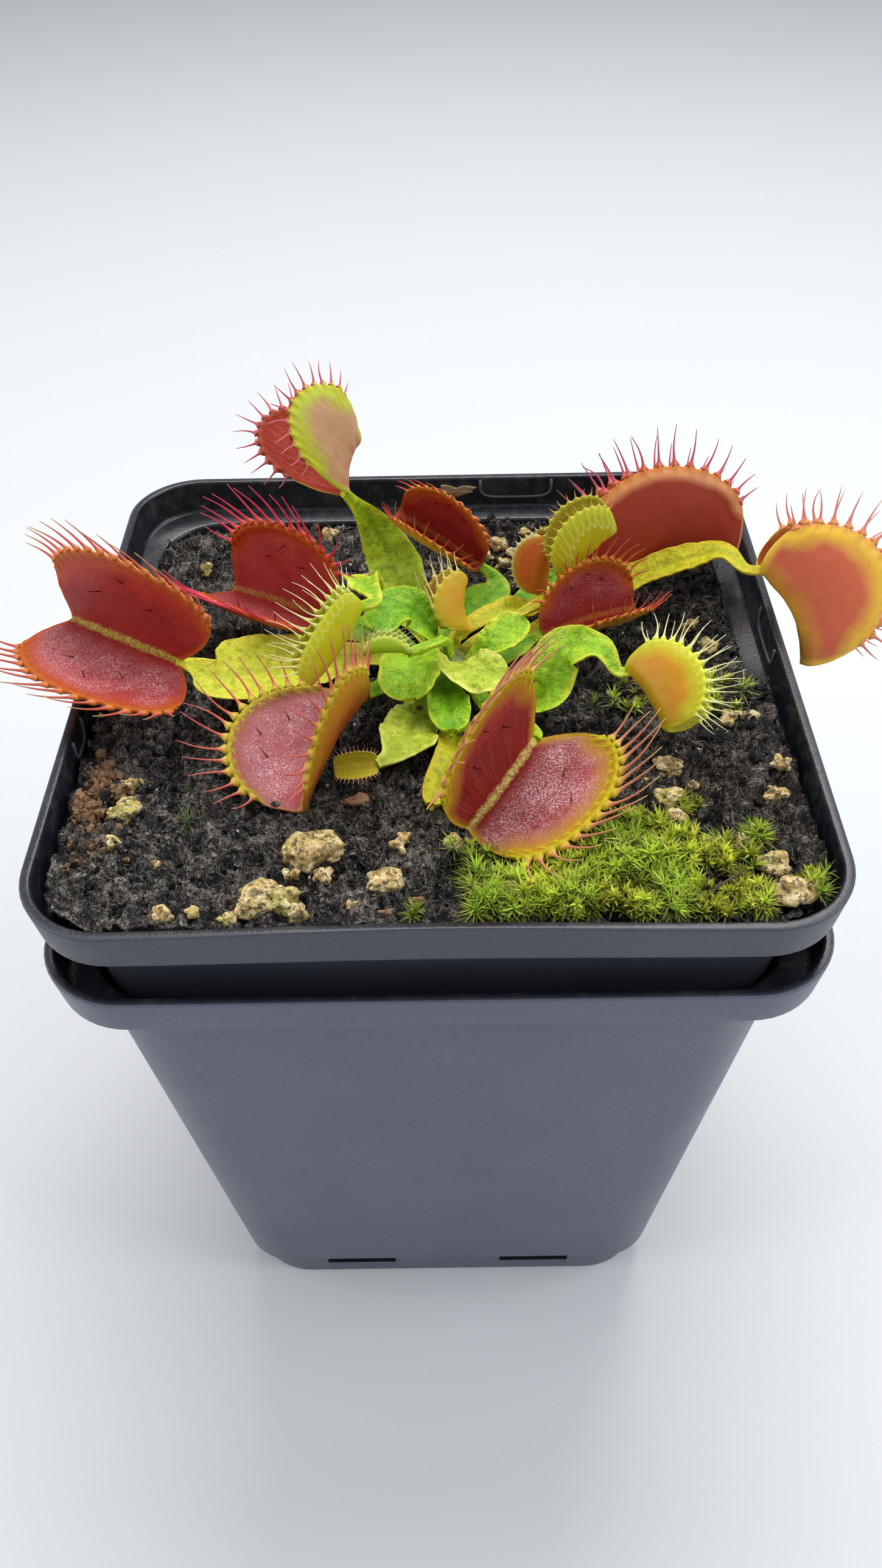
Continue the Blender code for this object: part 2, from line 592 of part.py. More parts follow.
def neck_end(name):
    """Last two points of a petiole: it comes up from below its trap's hinge and stops just short of it."""
    trap = next(item for item in TRAPS if item.name == name)
    midrib, mouth, _ = trap_axes(trap)
    foot = fold_lobe(trap, 1.0, np.zeros(1), np.zeros(1))[0]
    gap = CLEARANCE + PETIOLE_THICKNESS / 2 + trap.shoulder
    approach = unit(midrib + (0.45 + 4.0 * trap.shoulder) * mouth)
    if trap.length < SHORT_TRAP:
        return [foot - gap * approach]
    return [foot - min(0.16 * trap.length, 2.6) * approach, foot - gap * approach]


def blade_width(petiole, share):
    """Half width along the blade: narrow at the crown, widest at a set share, then a neck or a tip."""
    start = START_HALF_WIDTH
    end = petiole.neck / 2 if petiole.tip == "neck" else petiole.width * 0.22
    top = petiole.width / 2
    rise = np.clip(share / petiole.widest, 0.0, 1.0)
    fall = np.clip((share - petiole.widest) / (1 - petiole.widest), 0.0, 1.0)
    before = start + (top - start) * (1 - np.cos(rise * math.pi)) / 2
    if petiole.tip == "neck":
        after = end + (top - end) * (1 + np.cos(fall * math.pi)) / 2
    else:
        after = end + (top - end) * np.sqrt(1 - fall ** 2.2)
    return np.where(share < petiole.widest, before, after)


def build_petiole(petiole, collection):
    """Blade carried along a smooth route: a shallow trough across, waved along both edges."""
    points = [*crown_start(*petiole.start), *petiole.route]
    if petiole.trap:
        points += neck_end(petiole.trap)
    route, tangent = smooth_route(points, petiole.steps)
    share = np.linspace(0.0, 1.0, petiole.steps + 1)
    half = blade_width(petiole, share)
    face = np.array(petiole.face, dtype=float)
    side = unit(np.cross(tangent, face))
    normal = unit(np.cross(side, tangent))
    turn = np.radians(petiole.twist) * share
    side, normal = (np.cos(turn)[:, None] * side + np.sin(turn)[:, None] * normal,
                    np.cos(turn)[:, None] * normal - np.sin(turn)[:, None] * side)
    rows = []
    for across in (-1.0, -0.5, 0.0, 0.5, 1.0):
        trough = petiole.channel * 2 * half * (across ** 2 - 0.3)
        wave = petiole.wave * across ** 2 * np.sin(2 * math.pi * petiole.waves * share + 1.5 * across)
        wave = wave * np.sin(math.pi * share)
        rows.append(route + (across * half)[:, None] * side + (trough + wave)[:, None] * normal)
    count = petiole.steps + 1
    faces = []
    for row in range(4):
        for i in range(count - 1):
            a = row * count + i
            faces.append((a, a + 1, a + 1 + count))
            faces.append((a, a + 1 + count, a + count))
    item = mesh_object(petiole.name, np.concatenate(rows), faces, collection,
                       plain_material(petiole.name, petiole.colour, 0.5))
    solidify(item, PETIOLE_THICKNESS, 0.0)
    set_smooth(item, 60.0)
    return item


def build_crown(collection):
    bpy.ops.mesh.primitive_uv_sphere_add(segments=14, ring_count=9, radius=CROWN_RADIUS * MM,
                                         location=[value * MM for value in CROWN_CENTRE])
    crown = bpy.context.object
    crown.name = "crown"
    for other in list(crown.users_collection):
        other.objects.unlink(crown)
    collection.objects.link(crown)
    crown.data.materials.append(plain_material("crown", (0.30, 0.34, 0.12), 0.6))
    set_smooth(crown)
    return crown


def grain_shape(radius, seed, growth=0.0):
    """Points and faces of a knobbly stone: an icosphere pushed in and out by noise."""
    work = bmesh.new()
    bmesh.ops.create_icosphere(work, subdivisions=2, radius=1.0)
    for vertex in work.verts:
        lump = 1.0 + 0.35 * noise.noise(vertex.co * 1.4 + Vector((seed, 2.0 * seed, 0.0)))
        vertex.co *= radius * lump + growth
        vertex.co.z *= 0.8
    points = [tuple(vertex.co) for vertex in work.verts]
    faces = [tuple(vertex.index for vertex in face.verts) for face in work.faces]
    work.free()
    return np.array(points), faces


def build_grains(material, collection, cutters):
    """Pumice grains that lie in dimples of the peat, and the larger copies that cut the dimples."""
    for seed, (name, x, y, radius, sunk) in enumerate(GRAINS):
        place = np.array((x, y, soil_height(x, y) + radius * 0.8 * (1 - 2 * sunk)))
        points, faces = grain_shape(radius, seed + 1.0)
        grain = mesh_object(name, points + place, faces, collection, material)
        set_smooth(grain, 50.0)
        points, faces = grain_shape(radius, seed + 1.0, growth=CLEARANCE * 1.3)
        mark_cutter(mesh_object(name + "_dimple", points + place, faces, cutters), name + "_dimple", cutters)


def build_crown_hole(cutters):
    """Plain round hole in the peat for the crown."""
    x, y, z = CROWN_CENTRE
    depth = 12.0
    middle = z - CROWN_RADIUS - CLEARANCE + depth / 2
    bpy.ops.mesh.primitive_cylinder_add(vertices=14, radius=(CROWN_RADIUS + CLEARANCE + 0.1) * MM,
                                        depth=depth * MM, location=(x * MM, y * MM, middle * MM))
    mark_cutter(bpy.context.object, "crown_hole", cutters)


def main():
    clear_scene()
    parts = new_collection("potted_venus_flytrap")
    cutters = new_collection("cutters")
    plastic = plain_material("pot_plastic", (0.045, 0.05, 0.06), 0.45)
    peat = plain_material("peat", (0.018, 0.014, 0.011), 0.95)
    pumice = plain_material("pumice", (0.62, 0.50, 0.26), 0.9)
    build_pot("outer_pot", 0.0, plastic, parts, cutters)
    build_pot("inner_pot", NEST_LIFT, plastic, parts, cutters)
    soil = build_soil(peat, parts)
    hollows = new_collection("hollows")
    bpy.context.scene.collection.children.unlink(hollows)
    cutters.children.link(hollows)
    build_crown_hole(hollows)
    build_grains(pumice, parts, hollows)
    cut(soil, hollows)
    build_crown(parts)
    for petiole in PETIOLES:
        build_petiole(petiole, parts)
    for trap in TRAPS:
        build_trap(trap, parts)


main()
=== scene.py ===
# %% [markdown]
# # A Venus flytrap in two nested nursery pots
#
# This lesson dresses a packed CAD model of a small carnivorous plant. The CAD solids give the size and the
# place of every leaf; here each of them gets the surface that the eye expects: waved green blades, folded
# red traps with long cilia, wet peat, pumice and moss. Every surface is a formula on a grid, worked out with
# numpy in millimetres, and only the last step turns it into a Blender mesh in metres.

# %% Load the packed model
import functools
import itertools
import math
from dataclasses import dataclass
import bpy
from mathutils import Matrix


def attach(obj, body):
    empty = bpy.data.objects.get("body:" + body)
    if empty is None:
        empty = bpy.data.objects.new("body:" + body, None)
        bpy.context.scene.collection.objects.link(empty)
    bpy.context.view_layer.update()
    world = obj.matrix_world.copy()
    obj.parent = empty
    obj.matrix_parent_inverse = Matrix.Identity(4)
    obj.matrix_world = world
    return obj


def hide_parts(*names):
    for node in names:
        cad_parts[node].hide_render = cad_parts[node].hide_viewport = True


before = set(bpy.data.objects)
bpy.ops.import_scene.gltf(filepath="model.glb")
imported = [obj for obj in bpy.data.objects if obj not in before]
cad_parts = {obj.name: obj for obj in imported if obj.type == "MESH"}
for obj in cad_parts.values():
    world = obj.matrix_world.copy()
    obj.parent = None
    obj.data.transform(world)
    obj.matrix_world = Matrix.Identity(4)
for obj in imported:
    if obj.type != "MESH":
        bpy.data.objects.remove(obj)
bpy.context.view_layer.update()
from types import SimpleNamespace

import bpy
import mathutils
import numpy as np

MM = 0.001

# %% [markdown]
# ## From arrays to a mesh
#
# A mesh is a list of points and a list of faces that name their corners. Both come from numpy as whole
# arrays, so the mesh is filled with `foreach_set`, which copies an array in one go. Faces with three and with
# four corners are kept in separate blocks and joined here. The optional UV gives each point two surface
# coordinates, which the veins and the painted sheen of the traps follow.

# %% Mesh helpers
def linked(name, data):
    """New object that holds the data, linked to the scene."""
    item = bpy.data.objects.new(name, data)
    bpy.context.scene.collection.objects.link(item)
    return item


def unit(vectors):
    """Each vector divided by its length."""
    return vectors / (np.linalg.norm(vectors, axis=-1, keepdims=True) + 1e-12)


def circle(angle):
    """Points on the unit circle at the angles."""
    return np.stack((np.cos(angle), np.sin(angle)), axis=-1)


def strip_faces(rows, columns, close_rows=False, close_columns=False):
    """Quads between neighbours of a grid of rows x columns points, numbered row by row."""
    index = np.arange(rows * columns).reshape(rows, columns)
    if close_rows:
        index = np.vstack((index, index[:1]))
    if close_columns:
        index = np.hstack((index, index[:, :1]))
    return np.stack((index[:-1, :-1], index[:-1, 1:], index[1:, 1:], index[1:, :-1]), axis=-1).reshape(-1, 4)


def make_piece(name, points, blocks, materials, node=None, uv=None, zones=None, faces_of=None,
               sharp=None):
    """Mesh object from points in millimetres; blocks are face arrays, faces_of their material numbers.

    zones holds three numbers a point, which the materials read as an attribute of that name.
    """
    blocks = [np.asarray(block, dtype=np.int32) for block in blocks if len(block)]
    corners = np.concatenate([block.ravel() for block in blocks])
    sizes = np.concatenate([np.full(len(block), block.shape[1]) for block in blocks])
    mesh = bpy.data.meshes.new(name)
    mesh.vertices.add(len(points))
    mesh.vertices.foreach_set("co", (np.asarray(points, dtype=float) * MM).astype(np.float32).ravel())
    mesh.loops.add(len(corners))
    mesh.loops.foreach_set("vertex_index", corners)
    mesh.polygons.add(len(sizes))
    mesh.polygons.foreach_set("loop_start", (np.cumsum(sizes) - sizes).astype(np.int32))
    if faces_of is not None:
        numbers = [np.full(len(block), number) if np.isscalar(number) else number
                   for block, number in zip(blocks, faces_of)]
        mesh.polygons.foreach_set("material_index", np.concatenate(numbers).astype(np.int32))
    if uv is not None:
        layer = mesh.uv_layers.new(name="surface")
        layer.data.foreach_set("uv", np.asarray(uv, dtype=np.float32)[corners].ravel())
    if zones is not None:
        attribute = mesh.attributes.new("zones", "FLOAT_VECTOR", "POINT")
        attribute.data.foreach_set("vector", np.asarray(zones, dtype=np.float32).ravel())
    mesh.update(calc_edges=True)
    mesh.validate()
    mesh.shade_smooth()
    if sharp is not None:
        mesh.set_sharp_from_angle(angle=math.radians(sharp))
    for material in materials:
        mesh.materials.append(material)
    piece = linked(name, mesh)
    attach(piece, "root")
    if node is not None:
        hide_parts(node)
    return piece


# %% [markdown]
# ## Smooth randomness
#
# Peat, stone and leaf edges are irregular, but the same on each run. Lattice noise gives every whole-number
# corner of space a fixed random value, worked out from the corner's own coordinates, and blends between the
# corners with an S-shaped curve. Adding copies at half the size and half the strength gives natural lumps.

# %% Noise on whole arrays
def lattice_noise(points, seed=0):
    """Value noise between -1 and 1: hashed corner values blended by 3t^2 - 2t^3 along each axis."""
    points = np.asarray(points, dtype=float)
    cell = np.floor(points).astype(np.int64)
    blend = points - cell
    blend = blend * blend * (3 - 2 * blend)
    primes = (73856093, 19349663, 83492791)
    total = np.zeros(points.shape[:-1])
    for corner in itertools.product((0, 1), repeat=points.shape[-1]):
        mixed = np.full(points.shape[:-1], seed * 7919 + 11, dtype=np.int64)
        weight = np.ones(points.shape[:-1])
        for axis, step in enumerate(corner):
            mixed = mixed ^ ((cell[..., axis] + step) * primes[axis])
            weight = weight * (blend[..., axis] if step else 1 - blend[..., axis])
        mixed = mixed & 0x7FFFFFFF
        mixed = (mixed * (mixed * mixed % 15731 + 789221) + 1376312589) & 0x7FFFFFFF
        total += weight * (mixed / 0x3FFFFFFF - 1.0)
    return total


def layered_noise(points, octaves=4, seed=0):
    """Lattice noise plus copies at half the size and half the strength."""
    return sum(lattice_noise(np.asarray(points) * 2 ** k, seed + k) / 2 ** k for k in range(octaves))


def bell(value, width):
    """Smooth hill: 1 at zero, 0.37 at the width on either side."""
    return np.exp(-(value / width) ** 2)


print("noise sample:", np.round(layered_noise(np.array([[0.3, 1.7, 2.2]])), 3))

# %% [markdown]
# ## Camera
#
# The photograph looks down at about 44 degrees from a hand's width in front of the rim, with a phone's
# wide lens, so near things look large. The place, the three angles and the lens come from a fit of the rims
# of both pots to their outlines in the photograph. A camera looks along its own negative z axis, so its
# matrix has the direction backwards in its third column.

# %% Camera
def placed(x_axis, y_axis, z_axis, place):
    """World matrix with the three axes as its columns and the place as its last column."""
    columns = np.stack((x_axis, y_axis, z_axis, place), axis=1)
    return mathutils.Matrix((*columns.tolist(), (0.0, 0.0, 0.0, 1.0)))


CAMERA_PLACE = np.array((1.508, -127.792, 205.485))
PITCH, YAW, ROLL = (math.radians(value) for value in (44.2326, -0.5045, -1.2726))
camera_forward = np.array((math.sin(YAW) * math.cos(PITCH), math.cos(YAW) * math.cos(PITCH),
                           -math.sin(PITCH)))
level_right = np.array((math.cos(YAW), -math.sin(YAW), 0.0))
level_up = np.cross(level_right, camera_forward)
camera_right = math.cos(ROLL) * level_right + math.sin(ROLL) * level_up
camera_up = math.cos(ROLL) * level_up - math.sin(ROLL) * level_right
camera_data = bpy.data.cameras.new("camera")
camera_data.lens, camera_data.sensor_width = 29.32, 36.0
camera_data.clip_start, camera_data.clip_end = 0.005, 20.0
camera = linked("camera", camera_data)
camera.matrix_world = placed(camera_right, camera_up, -camera_forward, CAMERA_PLACE * MM)
bpy.context.scene.camera = camera
print("camera distance to the rosette in mm:", round(float(np.linalg.norm(CAMERA_PLACE - (0, 0, 102))), 1))

# %% [markdown]
# ## A short way to write node trees
#
# A material is a small network. Writing each node and link by hand hides what it does, so one class holds
# the tree of a material and has a short method for each kind of node. A method adds its node, sets or links
# the inputs (a number is set, a socket is linked) and returns the output, ready for the next node.

# %% Node helpers
def darker(colour, share):
    """Colour with each of its parts multiplied by a share."""
    return tuple(share * part for part in colour)


class Net:
    """Node tree of a new material; each method adds one node, or a small group, and returns its output."""

    def __init__(self, name, roughness=0.5, specular=0.5, glow=(0.0, 0.05)):
        """Sets the shader's own sockets; glow is its subsurface weight and scale in metres."""
        self.material = bpy.data.materials.new(name)
        self.material.use_nodes = True
        self.tree = self.material.node_tree
        self.shader = self.tree.nodes["Principled BSDF"]
        self.fill(self.shader, {"Roughness": roughness, "Specular IOR Level": specular,
                                "Subsurface Weight": glow[0], "Subsurface Scale": glow[1]})

    def fill(self, item, inputs):
        """Sets a node's inputs, by name or number, to values or links them to sockets."""
        for key, value in inputs.items():
            if isinstance(value, bpy.types.NodeSocket):
                self.tree.links.new(value, item.inputs[key])
            else:
                item.inputs[key].default_value = value

    def add(self, kind, inputs, output=0, **settings):
        item = self.tree.nodes.new("ShaderNode" + kind)
        for key, value in settings.items():
            setattr(item, key, value)
        self.fill(item, inputs)
        return item.outputs[output]

    def place(self, output="Object"):
        return self.add("TexCoord", {}, output)

    def split(self, vector):
        """The three numbers of a vector."""
        return self.add("SeparateXYZ", {0: vector}, slice(3))

    def math(self, operation, first, second=0.0):
        return self.add("Math", {0: first, 1: second}, operation=operation)

    def vector(self, operation, first, second=(0.0, 0.0, 0.0), output="Vector"):
        return self.add("VectorMath", {0: first, 1: second}, output, operation=operation)

    def times(self, *values):
        return functools.reduce(lambda first, second: self.math("MULTIPLY", first, second), values)

    def plus(self, *values):
        return functools.reduce(lambda first, second: self.math("ADD", first, second), values)

    def spread(self, value, low, high, to_low=0.0, to_high=1.0):
        """Value moved from the range low..high to to_low..to_high and held inside it."""
        return self.add("MapRange", {0: value, 1: low, 2: high, 3: to_low, 4: to_high}, clamp=True)

    def mix(self, factor, first, second, way="MIX"):
        """Mix of two colours by a factor."""
        first, second = ((*item, 1.0) if isinstance(item, tuple) else item for item in (first, second))
        return self.add("Mix", {0: factor, 6: first, 7: second}, 2, data_type="RGBA", blend_type=way)

    def shaded(self, tone, share):
        """Colour multiplied by a number."""
        return self.mix(1.0, tone, self.add("CombineXYZ", dict.fromkeys(range(3), share)), "MULTIPLY")

    def ramp(self, factor, stops):
        """Colour ramp with eased steps: stops are (position, (r, g, b)) pairs."""
        colour = self.add("ValToRGB", {0: factor})
        colour.node.color_ramp.interpolation = "EASE"
        elements = colour.node.color_ramp.elements
        while len(elements) < len(stops):
            elements.new(0.5)
        for element, (position, tone) in zip(elements, stops):
            element.position = position
            element.color = (*tone, 1.0)
        return colour

    def grain(self, size_mm, detail=3.0, roughness=0.55, swirl=0.0):
        """Noise between 0 and 1 whose lumps are about size_mm across, on Object coordinates."""
        return self.add("TexNoise", {"Vector": self.place(), "Scale": 1.0 / (size_mm * MM), "Detail": detail,
                                     "Roughness": roughness, "Distortion": swirl})

    def cells(self, size_mm):
        """Distance to the middle of Voronoi cells that are about size_mm across."""
        return self.add("TexVoronoi", {"Vector": self.place(), "Scale": 1.0 / (size_mm * MM)})

    def shifted(self, value, size_mm, reach):
        """A distance with a wavering added, which reaches as far either way as reach says."""
        return self.plus(value, self.spread(self.grain(size_mm), 0.3, 0.7, -reach, reach))

    def zones(self):
        """The three numbers of the piece's own zones attribute."""
        settings = {"attribute_type": "GEOMETRY", "attribute_name": "zones"}
        return self.split(self.add("Attribute", {}, "Vector", **settings))

    def surface(self):
        """The two coordinates of the piece's own UV map."""
        return self.split(self.add("UVMap", {}, uv_map="surface"))[:2]

    def veins(self, u, v, across, along):
        """Noise on the UV map with that many lumps across and along the lobe."""
        place = self.add("CombineXYZ", {0: self.times(u, across), 1: self.times(v, along)})
        return self.add("TexNoise", {"Vector": place, "Scale": 1.0, "Detail": 2.0})

    def finish(self, tone, rough=None, bumps=None):
        """Links colour, roughness and bumps (height between 0 and 1, depth in mm, strength) to the shader."""
        self.fill(self.shader, {"Base Color": tone})
        if rough is not None:
            self.fill(self.shader, {"Roughness": rough})
        if bumps is not None:
            height, depth_mm, strength = bumps
            normal = self.add("Bump", {"Height": height, "Distance": depth_mm * MM, "Strength": strength})
            self.fill(self.shader, {"Normal": normal})
        return self.material


print("node methods:", sum(callable(item) for item in vars(Net).values()))

# %% [markdown] ## Floor and light tent  The pot stands in a white light tent: soft light from everywhere, a
# little stronger from above and behind, which lays a faint shadow towards the camera. Three large area
# lights and a pale world give that without hard edges.

# %% Floor, world and lights
net = Net("pale_floor", 0.6)
# The floor is painted darker towards the back: painted shade where less light reaches it.
far = net.spread(net.split(net.place())[1], 0.15, 1.4)
soft = net.mix(net.grain(60.0, 2.0), (0.69, 0.705, 0.72), (0.705, 0.718, 0.732))
floor_mesh = bpy.data.meshes.new("floor")
floor_mesh.from_pydata([(-3, -3, 0), (3, -3, 0), (3, 3, 0), (-3, 3, 0)], [], [(0, 1, 2, 3)])
floor_mesh.materials.append(net.finish(net.mix(far, soft, (0.545, 0.565, 0.58))))
linked("floor", floor_mesh)

world = bpy.data.worlds.new("light_tent")
world.use_nodes = True
background = world.node_tree.nodes["Background"]
background.inputs["Color"].default_value = (0.9, 0.94, 1.0, 1.0)
background.inputs["Strength"].default_value = 0.5
bpy.context.scene.world = world
LIGHT_AIM = np.array((0.0, 0.0, 0.1))
# name, place and size in metres, power in watts and colour of each square area light
for name, place, size, power, colour in (
        ("tent_top_back", (0.05, 0.35, 0.75), 0.5, 4.6, (1.0, 0.99, 0.97)),
        ("tent_left", (-0.6, -0.1, 0.45), 0.45, 1.7, (1.0, 0.98, 0.96)),
        ("tent_right", (0.55, -0.1, 0.5), 0.4, 2.1, (0.97, 0.98, 1.0))):
    light = bpy.data.lights.new(name, "AREA")
    light.shape, light.size, light.energy, light.color = "SQUARE", size, power, colour
    towards = unit(LIGHT_AIM - place)
    side = unit(np.cross(towards, (0.0, 0.0, 1.0)))
    linked(name, light).matrix_world = placed(side, np.cross(side, towards), -towards, np.array(place))
bpy.context.scene.view_settings.view_transform = "Standard"

# %% [markdown]
# ## The pots
#
# Both pots come from one mould: a thin square cup with round corners, a collar below the rim and a recessed
# foot. Any ring round the pot is a square of centre points pushed out by the corner radius, so one array of
# stations (a centre and an outward direction each) serves every height. The profile runs up the outside,
# over the lip and down the inside, with small curves at its corners, and carrying it round the stations
# gives the whole wall.

# %% Stations and profile
def square_stations(corner_steps, side_steps):
    """Centres (on the unit square) and outward directions anticlockwise round a rounded square."""
    centres, outward = [], []
    for quarter in range(4):
        turn = math.radians(90 * quarter)
        spin = np.array(((math.cos(turn), math.sin(turn)), (-math.sin(turn), math.cos(turn))))
        angle = np.radians(np.linspace(-90, 0, corner_steps + 1))
        corner = np.tile((1.0, -1.0), (corner_steps + 1, 1))
        rise = np.linspace(-1, 1, side_steps + 1)[1:-1]
        side = np.stack((np.ones_like(rise), rise), axis=1)
        straight = np.tile((1.0, 0.0), (len(rise), 1))
        centres.append(np.vstack((corner, side)) @ spin)
        outward.append(np.vstack((circle(angle), straight)) @ spin)
    return np.vstack(centres), np.vstack(outward)


def rounded_profile(rows, reach, steps=4):
    """Profile rows (half width, corner radius, height) with each corner replaced by a quadratic curve."""
    rows = np.asarray(rows, dtype=float)
    before, after = rows[:-2] - rows[1:-1], rows[2:] - rows[1:-1]
    spans = [np.linalg.norm(part, axis=1, keepdims=True) for part in (before, after)]
    reach = np.minimum(reach, 0.45 * np.minimum(*spans))
    start = (rows[1:-1] + before / spans[0] * reach)[:, None]
    end = (rows[1:-1] + after / spans[1] * reach)[:, None]
    t = np.linspace(0, 1, steps + 1)[None, :, None]
    curve = (1 - t) ** 2 * start + 2 * t * (1 - t) * rows[1:-1, None] + t ** 2 * end
    return np.vstack((rows[:1], curve.reshape(-1, 3), rows[-1:]))


RIM_HALF, FOOT_HALF, NEST_LIFT = 45.0, 32.0, 11.5
# half width, corner radius and height, up the outside and down the inside
POT_PROFILE = (
    (12.8, 4.0, 0.0), (32.0, 9.5, 0.0), (32.2, 8.5, 5.2), (33.0, 7.5, 6.0), (41.1, 9.0, 85.8),
    (44.3, 9.5, 86.3), (45.0, 9.9, 91.8), (43.75, 8.7, 91.8), (43.35, 8.6, 87.1), (40.3, 8.2, 86.6),
    (32.15, 6.7, 6.7), (31.2, 8.2, 0.85), (12.8, 4.0, 0.85))
pot_profile = rounded_profile(POT_PROFILE, 0.45)
stations, directions = square_stations(12, 26)
print("pot rings:", len(pot_profile), "stations:", len(stations))


# %% [markdown]
# The front rim of the real inner pot bows up a little in the middle, so one pot gets a smooth bump there. The
# foot slots are boxes and the drain holes are short cylinders, and an exact Boolean takes them out of the
# wall. Its result is read back as a plain mesh, so no modifier is left on the piece.

# %% Pot builder
def box_points(places, turns, size):
    """Corner points and quads of boxes of one size (x, y, z), each turned about its upright axis."""
    signs = np.array(list(itertools.product((-0.5, 0.5), repeat=3)))
    corners = signs * size
    cos, sin = np.cos(turns)[:, None], np.sin(turns)[:, None]
    x = corners[:, 0] * cos - corners[:, 1] * sin
    y = corners[:, 0] * sin + corners[:, 1] * cos
    z = np.broadcast_to(corners[:, 2], x.shape)
    points = np.stack((x, y, z), axis=-1) + np.asarray(places)[:, None]
    quads = np.array(((0, 1, 3, 2), (4, 6, 7, 5), (0, 4, 5, 1), (2, 3, 7, 6), (0, 2, 6, 4), (1, 5, 7, 3)))
    return points.reshape(-1, 3), (quads[None] + 8 * np.arange(len(places))[:, None, None]).reshape(-1, 4)


def drill(piece, points, blocks):
    """Takes the closed shapes out of the piece with a Boolean and keeps the result as its mesh."""
    tool_mesh = bpy.data.meshes.new("drill")
    tool_mesh.from_pydata((points * MM).tolist(), [], [face.tolist() for block in blocks for face in block])
    tool = linked("drill", tool_mesh)
    modifier = piece.modifiers.new("holes", "BOOLEAN")
    modifier.object = tool
    modifier.solver = "EXACT"
    bpy.context.view_layer.update()
    evaluated = piece.evaluated_get(bpy.context.evaluated_depsgraph_get())
    drilled = bpy.data.meshes.new_from_object(evaluated)
    piece.modifiers.clear()
    piece.data = drilled
    bpy.data.objects.remove(tool, do_unlink=True)


SLOT_PLACE, SLOT_HEIGHT, SLOT_SIZE = 14.0, 4.2, (11.0, 6.0, 2.4)
DRAIN_PLACE, DRAIN_RADIUS, DRAIN_SIDES = 17.0, 3.5, 24


def pot_piece(name, node, lift, bow, material):
    """Profile carried round the stations; bow lifts the middle of the front rim."""
    half, radius, height = pot_profile[:, 0:1, None], pot_profile[:, 1:2, None], pot_profile[:, 2]
    rings = (half - radius) * stations[None] + radius * directions[None]
    z = np.repeat(height[:, None], len(stations), axis=1) + lift
    near_rim = np.clip((height - 70.0) / 22.0, 0, 1)[:, None] ** 2
    front = np.clip(-rings[..., 1] / RIM_HALF, 0, 1) ** 12
    z = z + bow * near_rim * front * np.cos(np.clip(rings[..., 0] / 36.0, -1, 1) * math.pi / 2) ** 2
    points = np.concatenate((rings, z[..., None]), axis=-1)
    rows, columns = z.shape
    faces = strip_faces(rows, columns, close_columns=True)
    floors = np.stack((np.arange(columns)[::-1], (rows - 1) * columns + np.arange(columns)))
    piece = make_piece(name, points.reshape(-1, 3), [faces, floors], [material], node, sharp=38)
    turns = np.repeat(np.radians((0, 90, 180, 270)), 2)
    across, cos, sin = np.tile((-SLOT_PLACE, SLOT_PLACE), 4), np.cos(turns), np.sin(turns)
    places = np.stack((across * cos - FOOT_HALF * sin, across * sin + FOOT_HALF * cos,
                       np.full(8, lift + SLOT_HEIGHT)), axis=1)
    slots, slot_faces = box_points(places, turns, SLOT_SIZE)
    ring = DRAIN_RADIUS * circle(np.linspace(0, 2 * math.pi, DRAIN_SIDES, endpoint=False))
    drains = np.array([(*(spot + (x, y)), lift + z) for x in (-DRAIN_PLACE, DRAIN_PLACE)
                       for y in (-DRAIN_PLACE, DRAIN_PLACE) for z in (-2.0, 2.0) for spot in ring])
    rings_of = len(slots) + np.arange(len(drains)).reshape(4, 2, DRAIN_SIDES)
    walls = np.stack((rings_of[:, 0], np.roll(rings_of[:, 0], -1, axis=1),
                      np.roll(rings_of[:, 1], -1, axis=1), rings_of[:, 1]), axis=-1).reshape(-1, 4)
    caps = np.concatenate((rings_of[:, 0, ::-1], rings_of[:, 1]))
    drill(piece, np.vstack((slots, drains)), [slot_faces, walls, caps])
    return piece

# %% [markdown]
# The plastic is charcoal with a blue cast. Its mould left a fine spark-eroded grain on the body, so the bump
# is noise of a third of a millimetre; handling has polished it in faint larger patches, and a little pale
# dust and dried water lies on it. Faces that look towards the pot's middle are wet and glossier, and their
# colour is darkened there as painted shade, with a little grime mixed in.

# %% Pot plastic
def pot_plastic(name, dark, light):
    """The level direction away from the pot's axis, dotted with the normal, parts outward faces from inward
    ones, which are wet, glossier and darkened with painted shade and grime.
    """
    net = Net(name, 0.42, 0.45)
    fine, broad = net.grain(0.32, 2.0), net.grain(14.0, 4.0)
    level = net.vector("NORMALIZE", net.vector("MULTIPLY", net.place(), (1.0, 1.0, 0.0)))
    inward_faces = net.spread(net.vector("DOT_PRODUCT", level, net.place("Normal"), "Value"), 0.35, -0.05)
    tone = net.shaded(net.mix(broad, dark, light), net.spread(fine, 0.35, 0.65, 0.9, 1.1))
    dust = net.spread(net.grain(1.1, 4.0, 0.7), 0.62, 0.8, 0.0, 0.12)
    scuffs = net.spread(net.grain(3.0, 5.0, 0.75), 0.6, 0.74, 0.0, 0.12)
    tone = net.mix(scuffs, net.mix(dust, tone, (0.3, 0.31, 0.32)), (0.22, 0.23, 0.25))
    # Inward faces get painted shade: a darker colour, mixed by noise with a little brownish grime.
    shade_and_grime = net.mix(net.spread(net.grain(2.4, 5.0, 0.7), 0.48, 0.72), (0.01, 0.0125, 0.019),
                    (0.045, 0.044, 0.042))
    rough = net.mix(inward_faces, net.spread(broad, 0.3, 0.7, 0.38, 0.52), net.spread(scuffs, 0.0, 0.1, 0.22, 0.42))
    return net.finish(net.mix(inward_faces, tone, shade_and_grime), rough, (fine, 0.035, 0.7))


